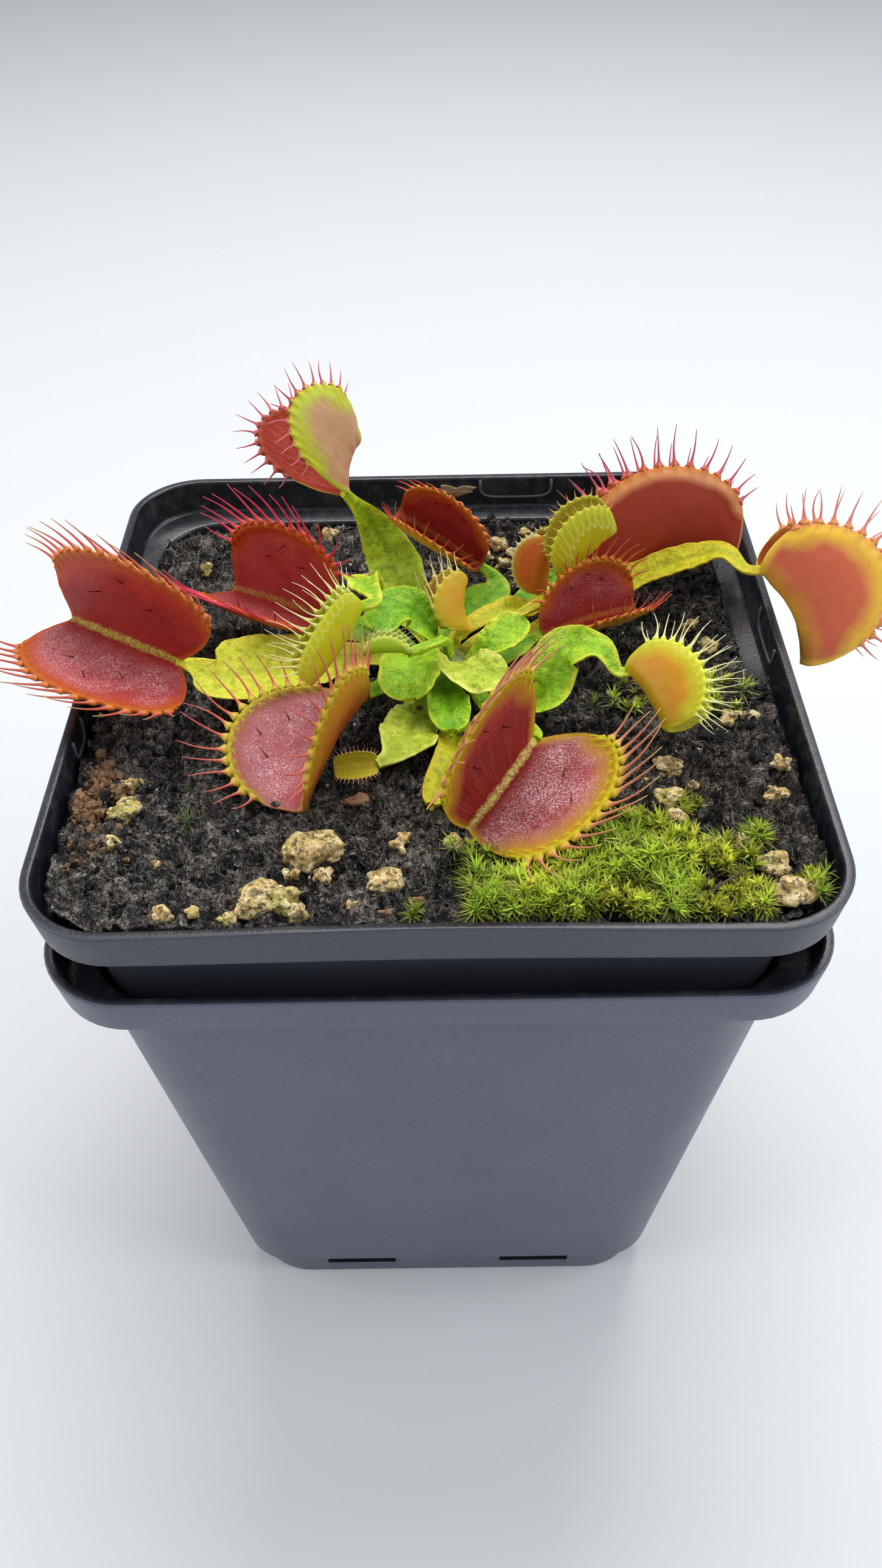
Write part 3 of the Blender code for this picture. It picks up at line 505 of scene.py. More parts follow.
for name, node, lift, bow, dark, light in (
        ("outer_pot_moulded", "outer_pot", 0.0, 0.0, (0.108, 0.114, 0.161), (0.126, 0.132, 0.184)),
        ("inner_pot_moulded", "inner_pot", NEST_LIFT, 1.0, (0.055, 0.061, 0.083), (0.07, 0.077, 0.102))):
    pot = pot_piece(name, node, lift, bow, pot_plastic(node + "_plastic", dark, light))
    print(name, "triangles:", sum(len(face.vertices) - 2 for face in pot.data.polygons))


# %% [markdown]
# ## The peat
#
# Wet peat is a heap of crumbs, so its top is a height field: the CAD's slope and hollows, then four sizes
# of lump. Ridged noise (one minus the absolute value) gives the pits and edges between clods.

# %% Height of the peat
# x, y, widths along x and y, and depth of the hollows
HOLLOWS = ((34.0, 12.0, 12.0, 16.0, 1.3), (6.0, -31.5, 9.0, 9.0, 2.3), (-18.0, -18.0, 9.0, 9.0, 1.0),
           (28.0, -14.0, 6.0, 6.0, 0.8), (1.5, 0.0, 6.0, 6.0, 0.5))


def peat_height(x, y, crumbs=True):
    """Slope to the back, a hollow at the right rear and under low traps, then lumps and crumbs."""
    height = 99.3 - 0.058 * y
    for middle_x, middle_y, wide, deep, depth in HOLLOWS:
        height = height - depth * bell(x - middle_x, wide) * bell(y - middle_y, deep)
    place = np.stack((x, y), axis=-1)
    height = height + 0.55 * layered_noise(place / 9.0, 2, 3)
    if crumbs:
        clods = 1 - np.abs(layered_noise(place / 3.4, 3, 17)) * 1.5
        flakes = 1 - 2.2 * np.abs(layered_noise(place / 1.15 + 0.35 * clods[..., None], 2, 31))
        pits = np.clip(lattice_noise(place / 1.9, 53), -1, 0.2)
        shreds = 1 - 2.5 * np.abs(layered_noise(place * (1.0, 0.35) / 0.75 + 0.5 * clods[..., None], 2, 71))
        height = height + 0.55 * clods - 0.3 + 0.46 * flakes + 0.8 * pits + 0.34 * shreds
        height = height + 0.24 * lattice_noise(place / 0.55, 47)
    return height


# %% [markdown]
# The height field is a square grid. It is pulled in at its corners to follow the pot's round ones, and a
# skirt of four rings closes it underneath as a solid block. Where the peat lies low at the rim it is pulled
# in too, so that it stays clear of the pot's ledge.

# %% Peat block
PEAT_STEPS = 300
PEAT_HALF, PEAT_CORNER = 42.75, 8.2
LEDGE = 98.75                   # height of the ledge under the inner pot's collar


def square_to_pot(u, v, half, radius):
    """Pulls a square's corners in to a rounded square: scales by how far its edge lies inside."""
    angle = np.arctan2(np.abs(v), np.abs(u))
    angle = np.where(angle > math.pi / 4, math.pi / 2 - angle, angle)
    inner = half - radius
    straight = half / np.cos(angle)
    along = inner * (np.cos(angle) + np.sin(angle))
    corner = along + np.sqrt(np.maximum(along ** 2 - 2 * inner ** 2 + radius ** 2, 0))
    edge = np.where(half * np.tan(angle) > inner, corner, straight)
    reach = np.maximum(np.abs(u), np.abs(v))
    scale = 1 + (edge / straight - 1) * reach ** 5
    return half * u * scale, half * v * scale


def peat_piece(material):
    """Top grid, then the skirt's rings, each joined to the last, then the floor."""
    u, v = np.meshgrid(np.linspace(-1, 1, PEAT_STEPS), np.linspace(-1, 1, PEAT_STEPS), indexing="ij")
    x, y = square_to_pot(u, v, PEAT_HALF, PEAT_CORNER)
    z = peat_height(x, y)
    rim = np.maximum(np.abs(u), np.abs(v))
    low = (z < LEDGE + 0.7) & (rim > 0.9)
    pull = np.where(low, np.clip((rim - 0.9) / 0.1, 0, 1) * 0.055, 0.0)
    x, y = x * (1 - pull), y * (1 - pull)
    z = z + 0.5 * bell(1 - rim, 0.02) * lattice_noise(np.stack((x, y), axis=-1) / 2.2, 5)
    top = np.stack((x, y, z), axis=-1)
    index = np.arange(PEAT_STEPS ** 2).reshape(PEAT_STEPS, PEAT_STEPS)
    loop, last = (np.concatenate((part[0, :-1], part[:-1, -1], part[-1, :0:-1], part[:0:-1, 0]))
                  for part in (top, index))
    skirt, faces = [], [strip_faces(PEAT_STEPS, PEAT_STEPS)[:, ::-1]]
    for half, height in ((0.93, 97.0), (0.925, 95.0), (0.715, 17.0), (0.7, 12.7)):
        ring = loop * (half, half, 0) + (0, 0, height)
        ring_index = PEAT_STEPS ** 2 + len(skirt) * len(loop) + np.arange(len(loop))
        faces.append(np.stack((np.roll(last, -1), np.roll(ring_index, -1), ring_index, last), axis=1))
        skirt.append(ring)
        last = ring_index
    faces.append(last[None])
    return make_piece("peat_block", np.vstack((top.reshape(-1, 3), *skirt)), faces, [material], "soil")


# %% [markdown]
# Peat is nearly black where it is wet and grey brown on its dry crumbs, and it is drier on the left. Height
# noise drives the colour, the same noise as the bump, so the hollows are near black, partly as painted shade,
# and the tops pale, partly as painted wet highlights. Wet faces shine, pale fibres and brown rust lie on it,
# and a strong small bump adds the crumbs that are finer than the grid.

# %% Peat material
def peat_material():
    net = Net("damp_black_peat", 0.8)
    clods, shreds = net.grain(2.6, 4.0, 0.6), net.grain(0.8, 5.0, 0.72, 2.4)
    dry = net.spread(net.shifted(net.split(net.place())[0], 11.0, 0.012), 0.012, -0.016)
    heaped = net.plus(net.times(clods, 0.4), net.times(shreds, 0.6))
    # The ramps follow the bump's noise: their darkest stops are partly painted shade in its hollows, their
    # lightest partly painted wet highlights on its tops.
    dark = net.ramp(heaped, ((0.43, (0.002, 0.0018, 0.0018)), (0.49, (0.009, 0.0078, 0.0066)),
                             (0.53, (0.08, 0.065, 0.053)), (0.58, (0.4, 0.325, 0.26))))
    light = net.ramp(heaped, ((0.42, (0.0028, 0.0026, 0.0028)), (0.48, (0.013, 0.0118, 0.011)),
                              (0.525, (0.15, 0.132, 0.118)), (0.575, (0.52, 0.46, 0.4))))
    rust = net.times(net.spread(net.grain(8.0), 0.56, 0.68, 0.0, 0.5), net.spread(heaped, 0.42, 0.62))
    tone = net.mix(rust, net.mix(dry, dark, light), (0.17, 0.085, 0.04))
    fibres = net.spread(net.grain(0.28, 2.0), 0.65, 0.72, 0.0, 0.55)
    rough = net.spread(net.grain(5.0, 4.0), 0.42, 0.6, 0.62, 0.26)
    relief = net.plus(net.times(clods, 0.5), net.times(shreds, 1.4))
    return net.finish(net.mix(fibres, tone, (0.4, 0.35, 0.28)), rough, (relief, 0.6, 1.0))


peat = peat_material()
peat_block = peat_piece(peat)
print("peat points:", len(peat_block.data.vertices))


# %% [markdown]
# ## Loose crumbs, pumice and litter
#
# Hundreds of small bodies share one recipe: a sphere grid whose radius is changed by noise, copied to many
# places by broadcasting one array against another. Poles are single points with fans round them, so each
# body is closed. Crumbs have only a few faces, pumice grains have many, and bark chips are flattened.

# %% Sphere grids
def sphere_template(rings, around):
    """Directions of a sphere grid with one point at each pole, and its faces."""
    rise = np.linspace(-math.pi / 2, math.pi / 2, rings + 2)[1:-1]
    turn = np.linspace(0, 2 * math.pi, around, endpoint=False)
    rise, turn = np.meshgrid(rise, turn, indexing="ij")
    body = np.stack((np.cos(rise) * np.cos(turn), np.cos(rise) * np.sin(turn), np.sin(rise)), axis=-1)
    directions = np.vstack((body.reshape(-1, 3), (0, 0, -1), (0, 0, 1)))
    quads = strip_faces(rings, around, close_columns=True)
    first, last = np.arange(around), (rings - 1) * around + np.arange(around)
    south = np.stack((np.roll(first, -1), first, np.full(around, rings * around)), axis=1)
    north = np.stack((last, np.roll(last, -1), np.full(around, rings * around + 1)), axis=1)
    return directions, quads, np.vstack((south, north))


def scattered(name, places, radii, stretch, rings, around, rough, material, node=None, seed=1,
              sharp=None):
    """One lump at each place: sphere grid scaled by radius and stretch, pushed in and out by noise."""
    directions, quads, fans = sphere_template(rings, around)
    places, radii = np.asarray(places, dtype=float), np.asarray(radii, dtype=float)
    own = directions[None] * 1.3 + 37.0 * np.arange(len(places))[:, None, None] + seed
    lumps = 1 + rough * layered_noise(own, 3, seed)
    points = places[:, None] + directions[None] * np.asarray(stretch).reshape(-1, 1, 3) * (
        radii[:, None] * lumps)[..., None]
    shift = (np.arange(len(places)) * len(directions))[:, None, None]
    return make_piece(name, points.reshape(-1, 3), [(quads[None] + shift).reshape(-1, 4),
                                                    (fans[None] + shift).reshape(-1, 3)],
                      [material], node, sharp=sharp)


def on_peat(spots, lift, crumbs=True):
    """Points a lift above the peat at spots (x, y); crumbs=False leaves its small lumps out."""
    spots = np.asarray(spots, dtype=float)
    height = peat_height(spots[..., 0], spots[..., 1], crumbs) + lift
    return np.concatenate((spots, height[..., None]), axis=-1)


# height of a lump's middle above the peat as a share of its radius or half length
LARGE_REST, SMALL_REST, CHIP_REST = 0.5, 0.55, 0.375
print("example sphere grid:", len(sphere_template(14, 20)[0]), "points")


# %% [markdown]
# Pumice is a pale yellow stone full of small holes. Here each grain is a lump from the recipe above; a colour
# ramp on fine noise stains it, a second noise cuts holes into the bump and paints shade into them as dark
# brown, and dirt and a thin film of moss lie on it in patches. The eight largest grains stand in for CAD
# solids, the others are strewn.

# %% Pumice
def pumice_material():
    net = Net("yellow_pumice", 0.8)
    holes = net.spread(net.grain(0.6, 4.0, 0.65), 0.34, 0.46)
    stain = net.grain(1.3, 5.0, 0.7)
    tone = net.ramp(stain, ((0.34, (0.3, 0.165, 0.05)), (0.46, (0.58, 0.4, 0.15)),
                            (0.56, (0.78, 0.63, 0.33)), (0.7, (0.92, 0.84, 0.62))))
    tone = net.mix(net.spread(net.grain(5.0, 2.0), 0.55, 0.66, 0.0, 0.45), tone, (0.46, 0.48, 0.07))
    dirt = net.spread(net.grain(2.2, 4.0, 0.7), 0.44, 0.36, 0.0, 0.75)
    # The holes' dark brown is painted shade in the pores.
    tone = net.mix(holes, (0.16, 0.095, 0.042), net.mix(dirt, tone, (0.1, 0.065, 0.034)))
    return net.finish(tone, bumps=(net.plus(net.times(holes, 0.6), stain), 0.4, 1.0))


pumice = pumice_material()
LARGE_GRAINS = {
    "grain_front_left": (-14.1, -32.5, 2.6), "grain_front_cluster": (-17.5, -39.0, 2.3),
    "grain_left": (-36.0, -24.2, 1.6), "grain_front_mid": (-5.7, -36.4, 1.5),
    "grain_right_back": (27.6, -17.6, 1.6), "grain_right_mid": (26.6, -24.2, 1.6),
    "grain_right_front": (37.6, -38.8, 2.0), "grain_far_right": (38.9, -23.8, 1.4)}
for number, (node, (x, y, radius)) in enumerate(LARGE_GRAINS.items()):
    place = on_peat([(x, y)], radius * LARGE_REST, crumbs=False)
    scattered(node + "_stone", place, [radius * 0.92], [(1.15, 0.9, 0.75)], 34, 52, 0.55, pumice, node,
              seed=number * 5 + 2)
# x, y and radius of the smaller grains that lie about in the photograph
SMALL_GRAINS = np.array((
    (-36.4, -29.6, 0.9), (-4.4, -30.4, 0.95), (-3.6, -28.6, 0.7), (-28.9, -41.2, 1.0), (-25.7, -40.8, 0.8),
    (-22.2, -41.4, 0.8), (-35.9, -19.7, 1.1), (27.1, -27.2, 1.0), (40.6, -18.3, 1.1), (36.4, -9.2, 1.2),
    (38.9, -8.6, 1.0), (36.3, 7.0, 1.3), (36.6, -34.6, 1.5), (33.9, -31.2, 1.1), (30.7, -31.2, 1.0),
    (26.8, -31.2, 1.0), (24.2, -30.0, 0.9), (19.4, -29.6, 0.9), (8.0, -37.6, 1.5), (35.0, 12.4, 1.2),
    (2.1, -28.9, 1.2), (9.7, 33.0, 1.4), (10.1, 28.6, 1.2), (13.5, 36.0, 1.0), (-15.9, 36.8, 1.2),
    (-9.6, 25.4, 0.9), (-33.3, 28.0, 1.0), (11.8, 31.0, 0.9), (8.0, 30.6, 0.7), (-14.8, -40.6, 1.1),
    (-20.2, -40.2, 1.2), (-12.4, -35.6, 1.0), (-15.8, -35.2, 0.9), (30.0, -21.0, 0.6), (24.5, -20.2, 0.5),
    (-31.0, -33.0, 0.6), (-9.0, -39.6, 0.7), (5.0, 36.5, 0.8), (-22.0, 34.0, 0.7), (20.0, 33.0, 0.8)))
scattered("small_pumice", on_peat(SMALL_GRAINS[:, :2], SMALL_GRAINS[:, 2] * SMALL_REST, crumbs=False),
          SMALL_GRAINS[:, 2], [(1.0, 0.9, 0.8)], 14, 20, 0.6, pumice, seed=91)
print("pumice grains:", len(LARGE_GRAINS) + len(SMALL_GRAINS))

# %% [markdown]
# Peat that has dried on top breaks into crumbs. Nine thousand of them, most of them tiny (a random number to
# the fourth power makes large ones rare), break up the smooth height field and cast small shadows.

# %% Peat crumbs
random = np.random.default_rng(7)
CRUMBS = 9000


def strewn(count, reach, inset):
    """Random places on the peat, as far out as a share of its half width less an inset in mm."""
    return np.stack(square_to_pot(*random.uniform(-reach, reach, (2, count)), PEAT_HALF - inset, PEAT_CORNER),
                    axis=-1)


crumb_spots = strewn(CRUMBS, 0.96, 1.0)
crumb_radius = 0.12 + 0.62 * random.random(CRUMBS) ** 4
scattered("peat_crumbs", on_peat(crumb_spots, 0.3 * crumb_radius), crumb_radius,
          random.uniform(0.4, 1.6, (CRUMBS, 3)), 2, 5, 0.7, peat, seed=140, sharp=20)
print("crumbs:", CRUMBS)

# %% [markdown]
# ## Tubes: roots, cilia and trigger hairs
#
# Anything long and round is a path with a ring of points about each step. The ring needs two directions
# across the path: the cross product of the tangent with a steady reference gives one, and a second cross
# product gives the other. All tubes of a piece are made in one array (tube, step, ring point, coordinate).

# %% Tube arrays
def tube_arrays(paths, radii, reference, sides=6, flat=None):
    """Rings about paths (tube, step, 3) with radii (tube, step); flat widens them along the reference."""
    tangent = unit(np.gradient(paths, axis=1))
    reference = np.broadcast_to(np.asarray(reference, dtype=float).reshape(-1, 1, 3), paths.shape)
    wide = unit(reference - (reference * tangent).sum(-1, keepdims=True) * tangent)
    thin = np.cross(tangent, wide)
    angle = np.linspace(0, 2 * math.pi, sides, endpoint=False)
    flat = np.ones_like(radii) if flat is None else flat
    ring = (np.cos(angle)[:, None] * (wide * flat[..., None])[:, :, None]
            + np.sin(angle)[:, None] * thin[:, :, None])
    points = paths[:, :, None] + radii[..., None, None] * ring
    tubes, steps = paths.shape[:2]
    index = np.arange(tubes * steps * sides).reshape(tubes, steps, sides)
    turned = np.roll(index, -1, axis=2)
    walls = np.stack((index[:, :-1], turned[:, :-1], turned[:, 1:], index[:, 1:]), axis=-1).reshape(-1, 4)
    caps = np.concatenate((index[:, 0, ::-1], index[:, -1]))
    share = np.broadcast_to(np.linspace(0, 1, steps)[None, :, None], index.shape)
    return points.reshape(-1, 3), walls, caps, share.ravel()


# %% [markdown]
# Hair-thin roots and shreds of peat fibre lie all over the surface. Each is a path that wanders over the
# height field: its heading turns evenly, and every point of it is put on the peat. The shreds are short, and
# their free ends stand up a little.

# %% Roots and shreds
LITTER_HALF = 41.3              # half width in mm of the square in which litter may lie


def litter_material(name, dark, light, size):
    """Two tones and bumps from one noise of a size in mm."""
    net = Net(name, 0.7)
    streak = net.grain(size, 4.0, 0.6)
    return net.finish(net.mix(streak, dark, light), bumps=(streak, 0.12, 0.8))


def lying_paths(starts, lengths, steps, turning, lift):
    """Wandering paths on the peat: each heading turns evenly, and each point lies on the height field."""
    count = len(starts)
    heading = (random.uniform(0, 2 * math.pi, (count, 1))
               + np.linspace(0, 1, steps) * random.uniform(-turning, turning, (count, 1)))
    stride = (lengths / steps)[:, None, None]
    places = starts[:, None] + np.cumsum(circle(heading) * stride, axis=1)
    return on_peat(np.clip(places, -LITTER_HALF, LITTER_HALF), lift)


def litter_tubes(name, paths, thick, material, sides=5):
    """Tubes that taper to two fifths of their radius."""
    radii = np.asarray(thick).reshape(-1, 1) * np.linspace(1.0, 0.4, paths.shape[1])
    points, walls, caps, _ = tube_arrays(paths, radii, (0, 0, 1.0), sides)
    return make_piece(name, points, [walls, caps], [material])


ROOTS, SHREDS = 110, 9000
root_paths = lying_paths(strewn(ROOTS, 0.9, 2), random.uniform(2.0, 8.0, ROOTS), 10, 1.6, 0.14)
litter_tubes("fine_roots", root_paths, [0.085] * ROOTS,
             litter_material("pale_root", (0.12, 0.075, 0.045), (0.42, 0.33, 0.22), 1.0))
shred_paths = lying_paths(strewn(SHREDS, 0.97, 1), random.uniform(0.6, 2.2, SHREDS), 4, 1.8, 0.05)
shred_paths[:, -1, 2] += random.uniform(0.0, 0.45, SHREDS)
litter_tubes("peat_shreds", shred_paths, random.uniform(0.06, 0.14, SHREDS),
             litter_material("peat_fibre", (0.008, 0.006, 0.005), (0.27, 0.235, 0.2), 1.1), 3)
TWIG = ((28.6, -39.8, 101.8), (29.8, -38.6, 102.9), (31.6, -37.6, 103.1), (33.4, -35.9, 102.6))
litter_tubes("twig", np.array([TWIG]), [0.26],
             litter_material("twig_bark", (0.035, 0.022, 0.014), (0.1, 0.06, 0.04), 0.6), 8)
print("roots:", ROOTS, "shreds:", SHREDS)

# %% [markdown]
# Brown coconut fibre has gathered by the left wall, a few bark chips lie about, and white perlite specks are
# mixed in. All three are lumps again: normal draws round a centre heap the fibre up, and chips are flattened.

# %% Coir, bark and perlite
CLUMP_HALF = 41.2               # half width in mm of the square in which clumps may lie
# centre x, y and spread along x and y of the brown fibrous clumps by the left wall
CLUMPS = ((-39.8, -19.2, 0.8, 1.9, 150), (-40.3, -24.6, 1.0, 1.1, 110), (-37.2, -21.6, 0.7, 0.5, 30),
          (-38.6, -31.0, 1.6, 1.6, 20))


def heaped(table):
    """Normal draws round each centre: rows are x, y, spread along x and y, and how many."""
    return np.vstack([random.normal(0.0, 1.0, (count, 2)) * (wide, deep) + (x, y)
                      for x, y, wide, deep, count in table])


clump_spots = np.clip(heaped(CLUMPS), -CLUMP_HALF, CLUMP_HALF)
clump_count = len(clump_spots)
clump_radius = random.uniform(0.16, 0.5, clump_count)
scattered("coir_clumps", on_peat(clump_spots, random.uniform(0.0, 1.0, clump_count)), clump_radius,
          random.uniform(0.4, 1.6, (clump_count, 3)), 3, 6, 0.8,
          litter_material("brown_coir", (0.045, 0.022, 0.01), (0.4, 0.225, 0.105), 0.9),
          seed=310, sharp=20)
# x, y and half length of each chip
CHIPS = np.array(((-21.3, -40.6, 1.1), (-29.6, -41.2, 0.8), (-9.0, -22.8, 1.7), (20.0, 28.0, 1.3),
                  (-26.0, 24.0, 1.4), (-5.4, -40.4, 0.7), (33.0, -22.0, 0.7), (-2.0, -38.5, 0.6),
                  (-14.6, -24.6, 0.6)))
scattered("bark_chips", on_peat(CHIPS[:, :2], CHIPS[:, 2] * CHIP_REST, crumbs=False), CHIPS[:, 2],
          random.uniform((0.9, 0.35, 0.22), (1.3, 0.6, 0.35), (len(CHIPS), 3)), 10, 16, 0.7,
          litter_material("bark_chip", (0.06, 0.03, 0.015), (0.42, 0.21, 0.1), 0.7), seed=230)
SPECKS = 90
scattered("pale_specks", on_peat(strewn(SPECKS, 0.93, 2), 0.12), random.uniform(0.1, 0.26, SPECKS),
          random.uniform(0.6, 1.3, (SPECKS, 3)), 3, 6, 0.4,
          litter_material("perlite_speck", (0.55, 0.53, 0.48), (0.85, 0.84, 0.8), 0.3),
          seed=260)
print("clumps:", clump_count, "chips:", len(CHIPS), "specks:", SPECKS)

# %% [markdown]
# The inside of the rim shows three shallow recesses of the mould. Each outline is one thin tube along half a
# superellipse, an ellipse whose sine and cosine are raised to a small power, which squares its corners. A tan
# scrap sticks to the back wall.

# %% Recesses inside the rim
# wall, centre along it and half width
RECESSES = (("left", -12.3, 2.3), ("right", 5.6, 4.6), ("back", 12.4, 5.4))
RECESS_TOP, RECESS_DROP, RECESS_WALL, SQUARENESS = 103.0, 2.9, 43.45, 0.4
recess_turn = np.linspace(0, math.pi, 25)
recess_paths = []
for wall, centre, half in RECESSES:
    cosine = np.cos(recess_turn)
    across = centre + half * np.sign(cosine) * np.abs(cosine) ** SQUARENESS
    down = RECESS_TOP - RECESS_DROP * np.sin(recess_turn) ** SQUARENESS
    depth = np.full(len(across), RECESS_WALL)
    columns = {"left": (-depth, across), "right": (depth, across), "back": (across, depth)}[wall]
    recess_paths.append(np.column_stack((*columns, down)))
recess_paths = np.array(recess_paths)
points, walls, caps, _ = tube_arrays(recess_paths, np.full(recess_paths.shape[:2], 0.22), (0, 0, 1.0))
wet_plastic = litter_material("wet_plastic", (0.03, 0.034, 0.046), (0.11, 0.118, 0.145), 1.2)
make_piece("moulded_recesses", points, [walls, caps], [wet_plastic])
scattered("wall_scrap", [(3.4, 43.1, 101.6)], [1.0], [(1.8, 0.22, 0.75)], 14, 20, 0.7,
          litter_material("tan_scrap", (0.16, 0.095, 0.048), (0.5, 0.35, 0.21), 0.7), seed=330)
print("recess outlines:", len(RECESSES))

# %% [markdown]
# ## Moss
#
# Haircap moss is a crowd of small stars: each shoot is a short stem with whorls of hair-thin pointed leaves.
# One leaf is a kite of four points, and a shoot's leaves spread wide at the bottom and stand up at the tip.
# Shoots are drawn at random inside the cushion's outline and thinly in a few tufts round it, and
# broadcasting the shoot places against the leaf directions makes the whole cushion in one array.

# %% Moss shoots
MOSS_EDGE = np.array((
    (3.6, -41.4), (3.8, -35.6), (7.7, -34.4), (11.5, -33.4), (16.6, -31.6), (18.9, -29.6), (19.9, -27.0),
    (21.0, -26.0), (22.4, -26.2), (25.0, -28.2), (26.2, -30.4), (28.9, -30.8), (31.8, -31.2), (33.4, -33.0),
    (33.8, -35.3), (35.4, -37.6), (34.8, -40.6), (33.6, -41.6)))
BARE = (30.3, -36.0, 2.9, 2.4)      # centre and half widths of the bare peat inside the cushion
# centre x, y, spread along x and y, and the number of shoots of each tuft outside it
TUFTS = ((28.6, -24.4, 0.9, 0.6, 12), (35.2, -30.8, 0.8, 0.6, 12), (40.2, -37.6, 0.9, 1.4, 16),
         (31.5, -0.4, 2.2, 1.5, 20), (34.0, -5.4, 2.2, 1.4, 20), (25.0, -5.4, 2.2, 1.4, 10),
         (5.2, -31.6, 1.4, 0.8, 9), (-2.4, -40.6, 0.3, 0.2, 2), (-28.2, -27.0, 0.1, 0.1, 1))
MOSS_SHOOTS, MOSS_LEAVES = 860, 22
MOSS_HALF = 41.8                # half width in mm of the square in which shoots may stand


def inside_outline(spots, outline):
    """True where a ray to the right crosses the closed outline an odd number of times."""
    x, y = spots[:, :1], spots[:, 1:]
    ax, ay = outline[:, 0], outline[:, 1]
    bx, by = np.roll(ax, -1), np.roll(ay, -1)
    crosses = ((ay > y) != (by > y)) & (x < ax + (bx - ax) * (y - ay) / (by - ay))
    return crosses.sum(axis=1) % 2 == 1


def moss_spots():
    """Places of the shoots: even draws inside the cushion's outline, normal draws in the tufts."""
    low, high = MOSS_EDGE.min(axis=0), MOSS_EDGE.max(axis=0)
    spots = random.uniform(low, high, (MOSS_SHOOTS * 3, 2))
    ragged = spots + 1.3 * np.stack([lattice_noise(spots / 2.0, seed) for seed in (3, 4)], axis=1)
    bare = ((ragged - BARE[:2]) / BARE[2:]) ** 2
    spots = spots[inside_outline(ragged, MOSS_EDGE) & (bare.sum(axis=1) > 1)][:MOSS_SHOOTS]
    spots = np.vstack((spots, heaped(TUFTS)))
    return spots[(np.abs(spots) < MOSS_HALF).all(axis=1)]


# %% [markdown]
# A shoot's leaves follow one another by the golden angle, as on a real stem, so no two lie above each other.
# Each leaf opens less the higher it sits, and droops with the square of its length. Shoots differ in height,
# in how fine their leaves are and in brightness, which is their own tone together with painted shade where
# the cushion lies low, and the zones attribute hands these on to the material.

# %% Moss cushion
GOLDEN_TURN = 2.4               # radians
OWN_STEPS = 20                  # steps of a shoot's brightness, its own tone with painted shade


def moss_piece(material):
    """Kite leaves and stems of all shoots in single arrays (shoot, leaf, corner, coordinate)."""
    spots = moss_spots()
    count = len(spots)
    mound = 0.5 + 0.5 * lattice_noise(spots / 3.4, 21)
    fine = np.clip(0.5 + 1.6 * lattice_noise(spots / 5.0, 33) + random.normal(0, 0.35, count), 0, 1)[:, None]
    own = random.random(count)
    # Brightness of a shoot: painted shade where the cushion lies low, with a random tone of its own.
    shade_and_tone = 0.98 * (0.3 * np.clip(2 * mound - 0.5, 0, 1) + 0.7 * own)
    height = 0.3 + 3.0 * mound * own + 0.5 * fine[:, 0]
    foot = on_peat(spots, 0.1, crumbs=False)
    lean = unit(np.column_stack((random.normal(0, 0.26, (count, 2)), np.ones(count))))
    share = np.linspace(0.05, 1.0, MOSS_LEAVES)[None]
    turn = random.uniform(0, 6.28, (count, 1)) + np.arange(MOSS_LEAVES) * GOLDEN_TURN
    opening = 1.45 - 1.15 * share ** 1.3 + random.normal(0, 0.16, (count, MOSS_LEAVES))
    out = np.stack((np.cos(turn), np.sin(turn), np.zeros_like(turn)), axis=-1)
    along = unit(np.sin(opening)[..., None] * out + np.cos(opening)[..., None] * lean[:, None])
    root = foot[:, None] + lean[:, None] * (height[:, None] * (0.45 + 0.55 * share))[..., None]
    side = unit(np.cross(along, out + (0, 0, 0.3)))
    reach = random.uniform(0.75, 1.2, (count, 1)) * (0.85 + 0.55 * fine)
    length = (reach * random.uniform(1.2, 2.1, (count, MOSS_LEAVES)))[..., None]
    half = (0.2 - 0.105 * fine)[..., None]
    middle = root + along * length * 0.3
    tip = root + along * length - np.array((0, 0, 0.1)) * length ** 2
    kites = np.stack((root, middle + side * half, tip, middle - side * half), axis=2)
    stem_paths = foot[:, None] + lean[:, None] * (height[:, None] * np.array((-0.2, 1.0)))[..., None]
    stem_points, stem_walls, stem_caps, stem_share = tube_arrays(stem_paths, np.full((count, 2), 0.06),
                                                                 (1.0, 0, 0), 3)
    leaves = count * MOSS_LEAVES
    tip_share = np.tile((0.0, 0.3, 1.0, 0.3), leaves)
    zones = np.column_stack((np.repeat(np.tile(share[0], count), 4), tip_share,
                             np.repeat(fine[:, 0] + 2.0 * np.floor(shade_and_tone * OWN_STEPS), MOSS_LEAVES * 4)))
    zones = np.vstack((zones, np.zeros((len(stem_share), 3))))
    return make_piece("moss_cushion", np.vstack((kites.reshape(-1, 3), stem_points)),
                      [np.arange(leaves * 4).reshape(-1, 4), stem_walls + leaves * 4, stem_caps + leaves * 4],
                      [material], zones=zones)

# %% [markdown]
# The stars run from dark bases, partly painted shade deep in the cushion, to yellow tips, and the fine-leaved
# shoots are greener. One number of the zones attribute carries two facts of a shoot: its remainder by 2 is
# how fine it is, and the rest is its brightness in steps, its own tone with painted shade where the cushion
# lies low. Old shoots, the brightest few, have turned brown.

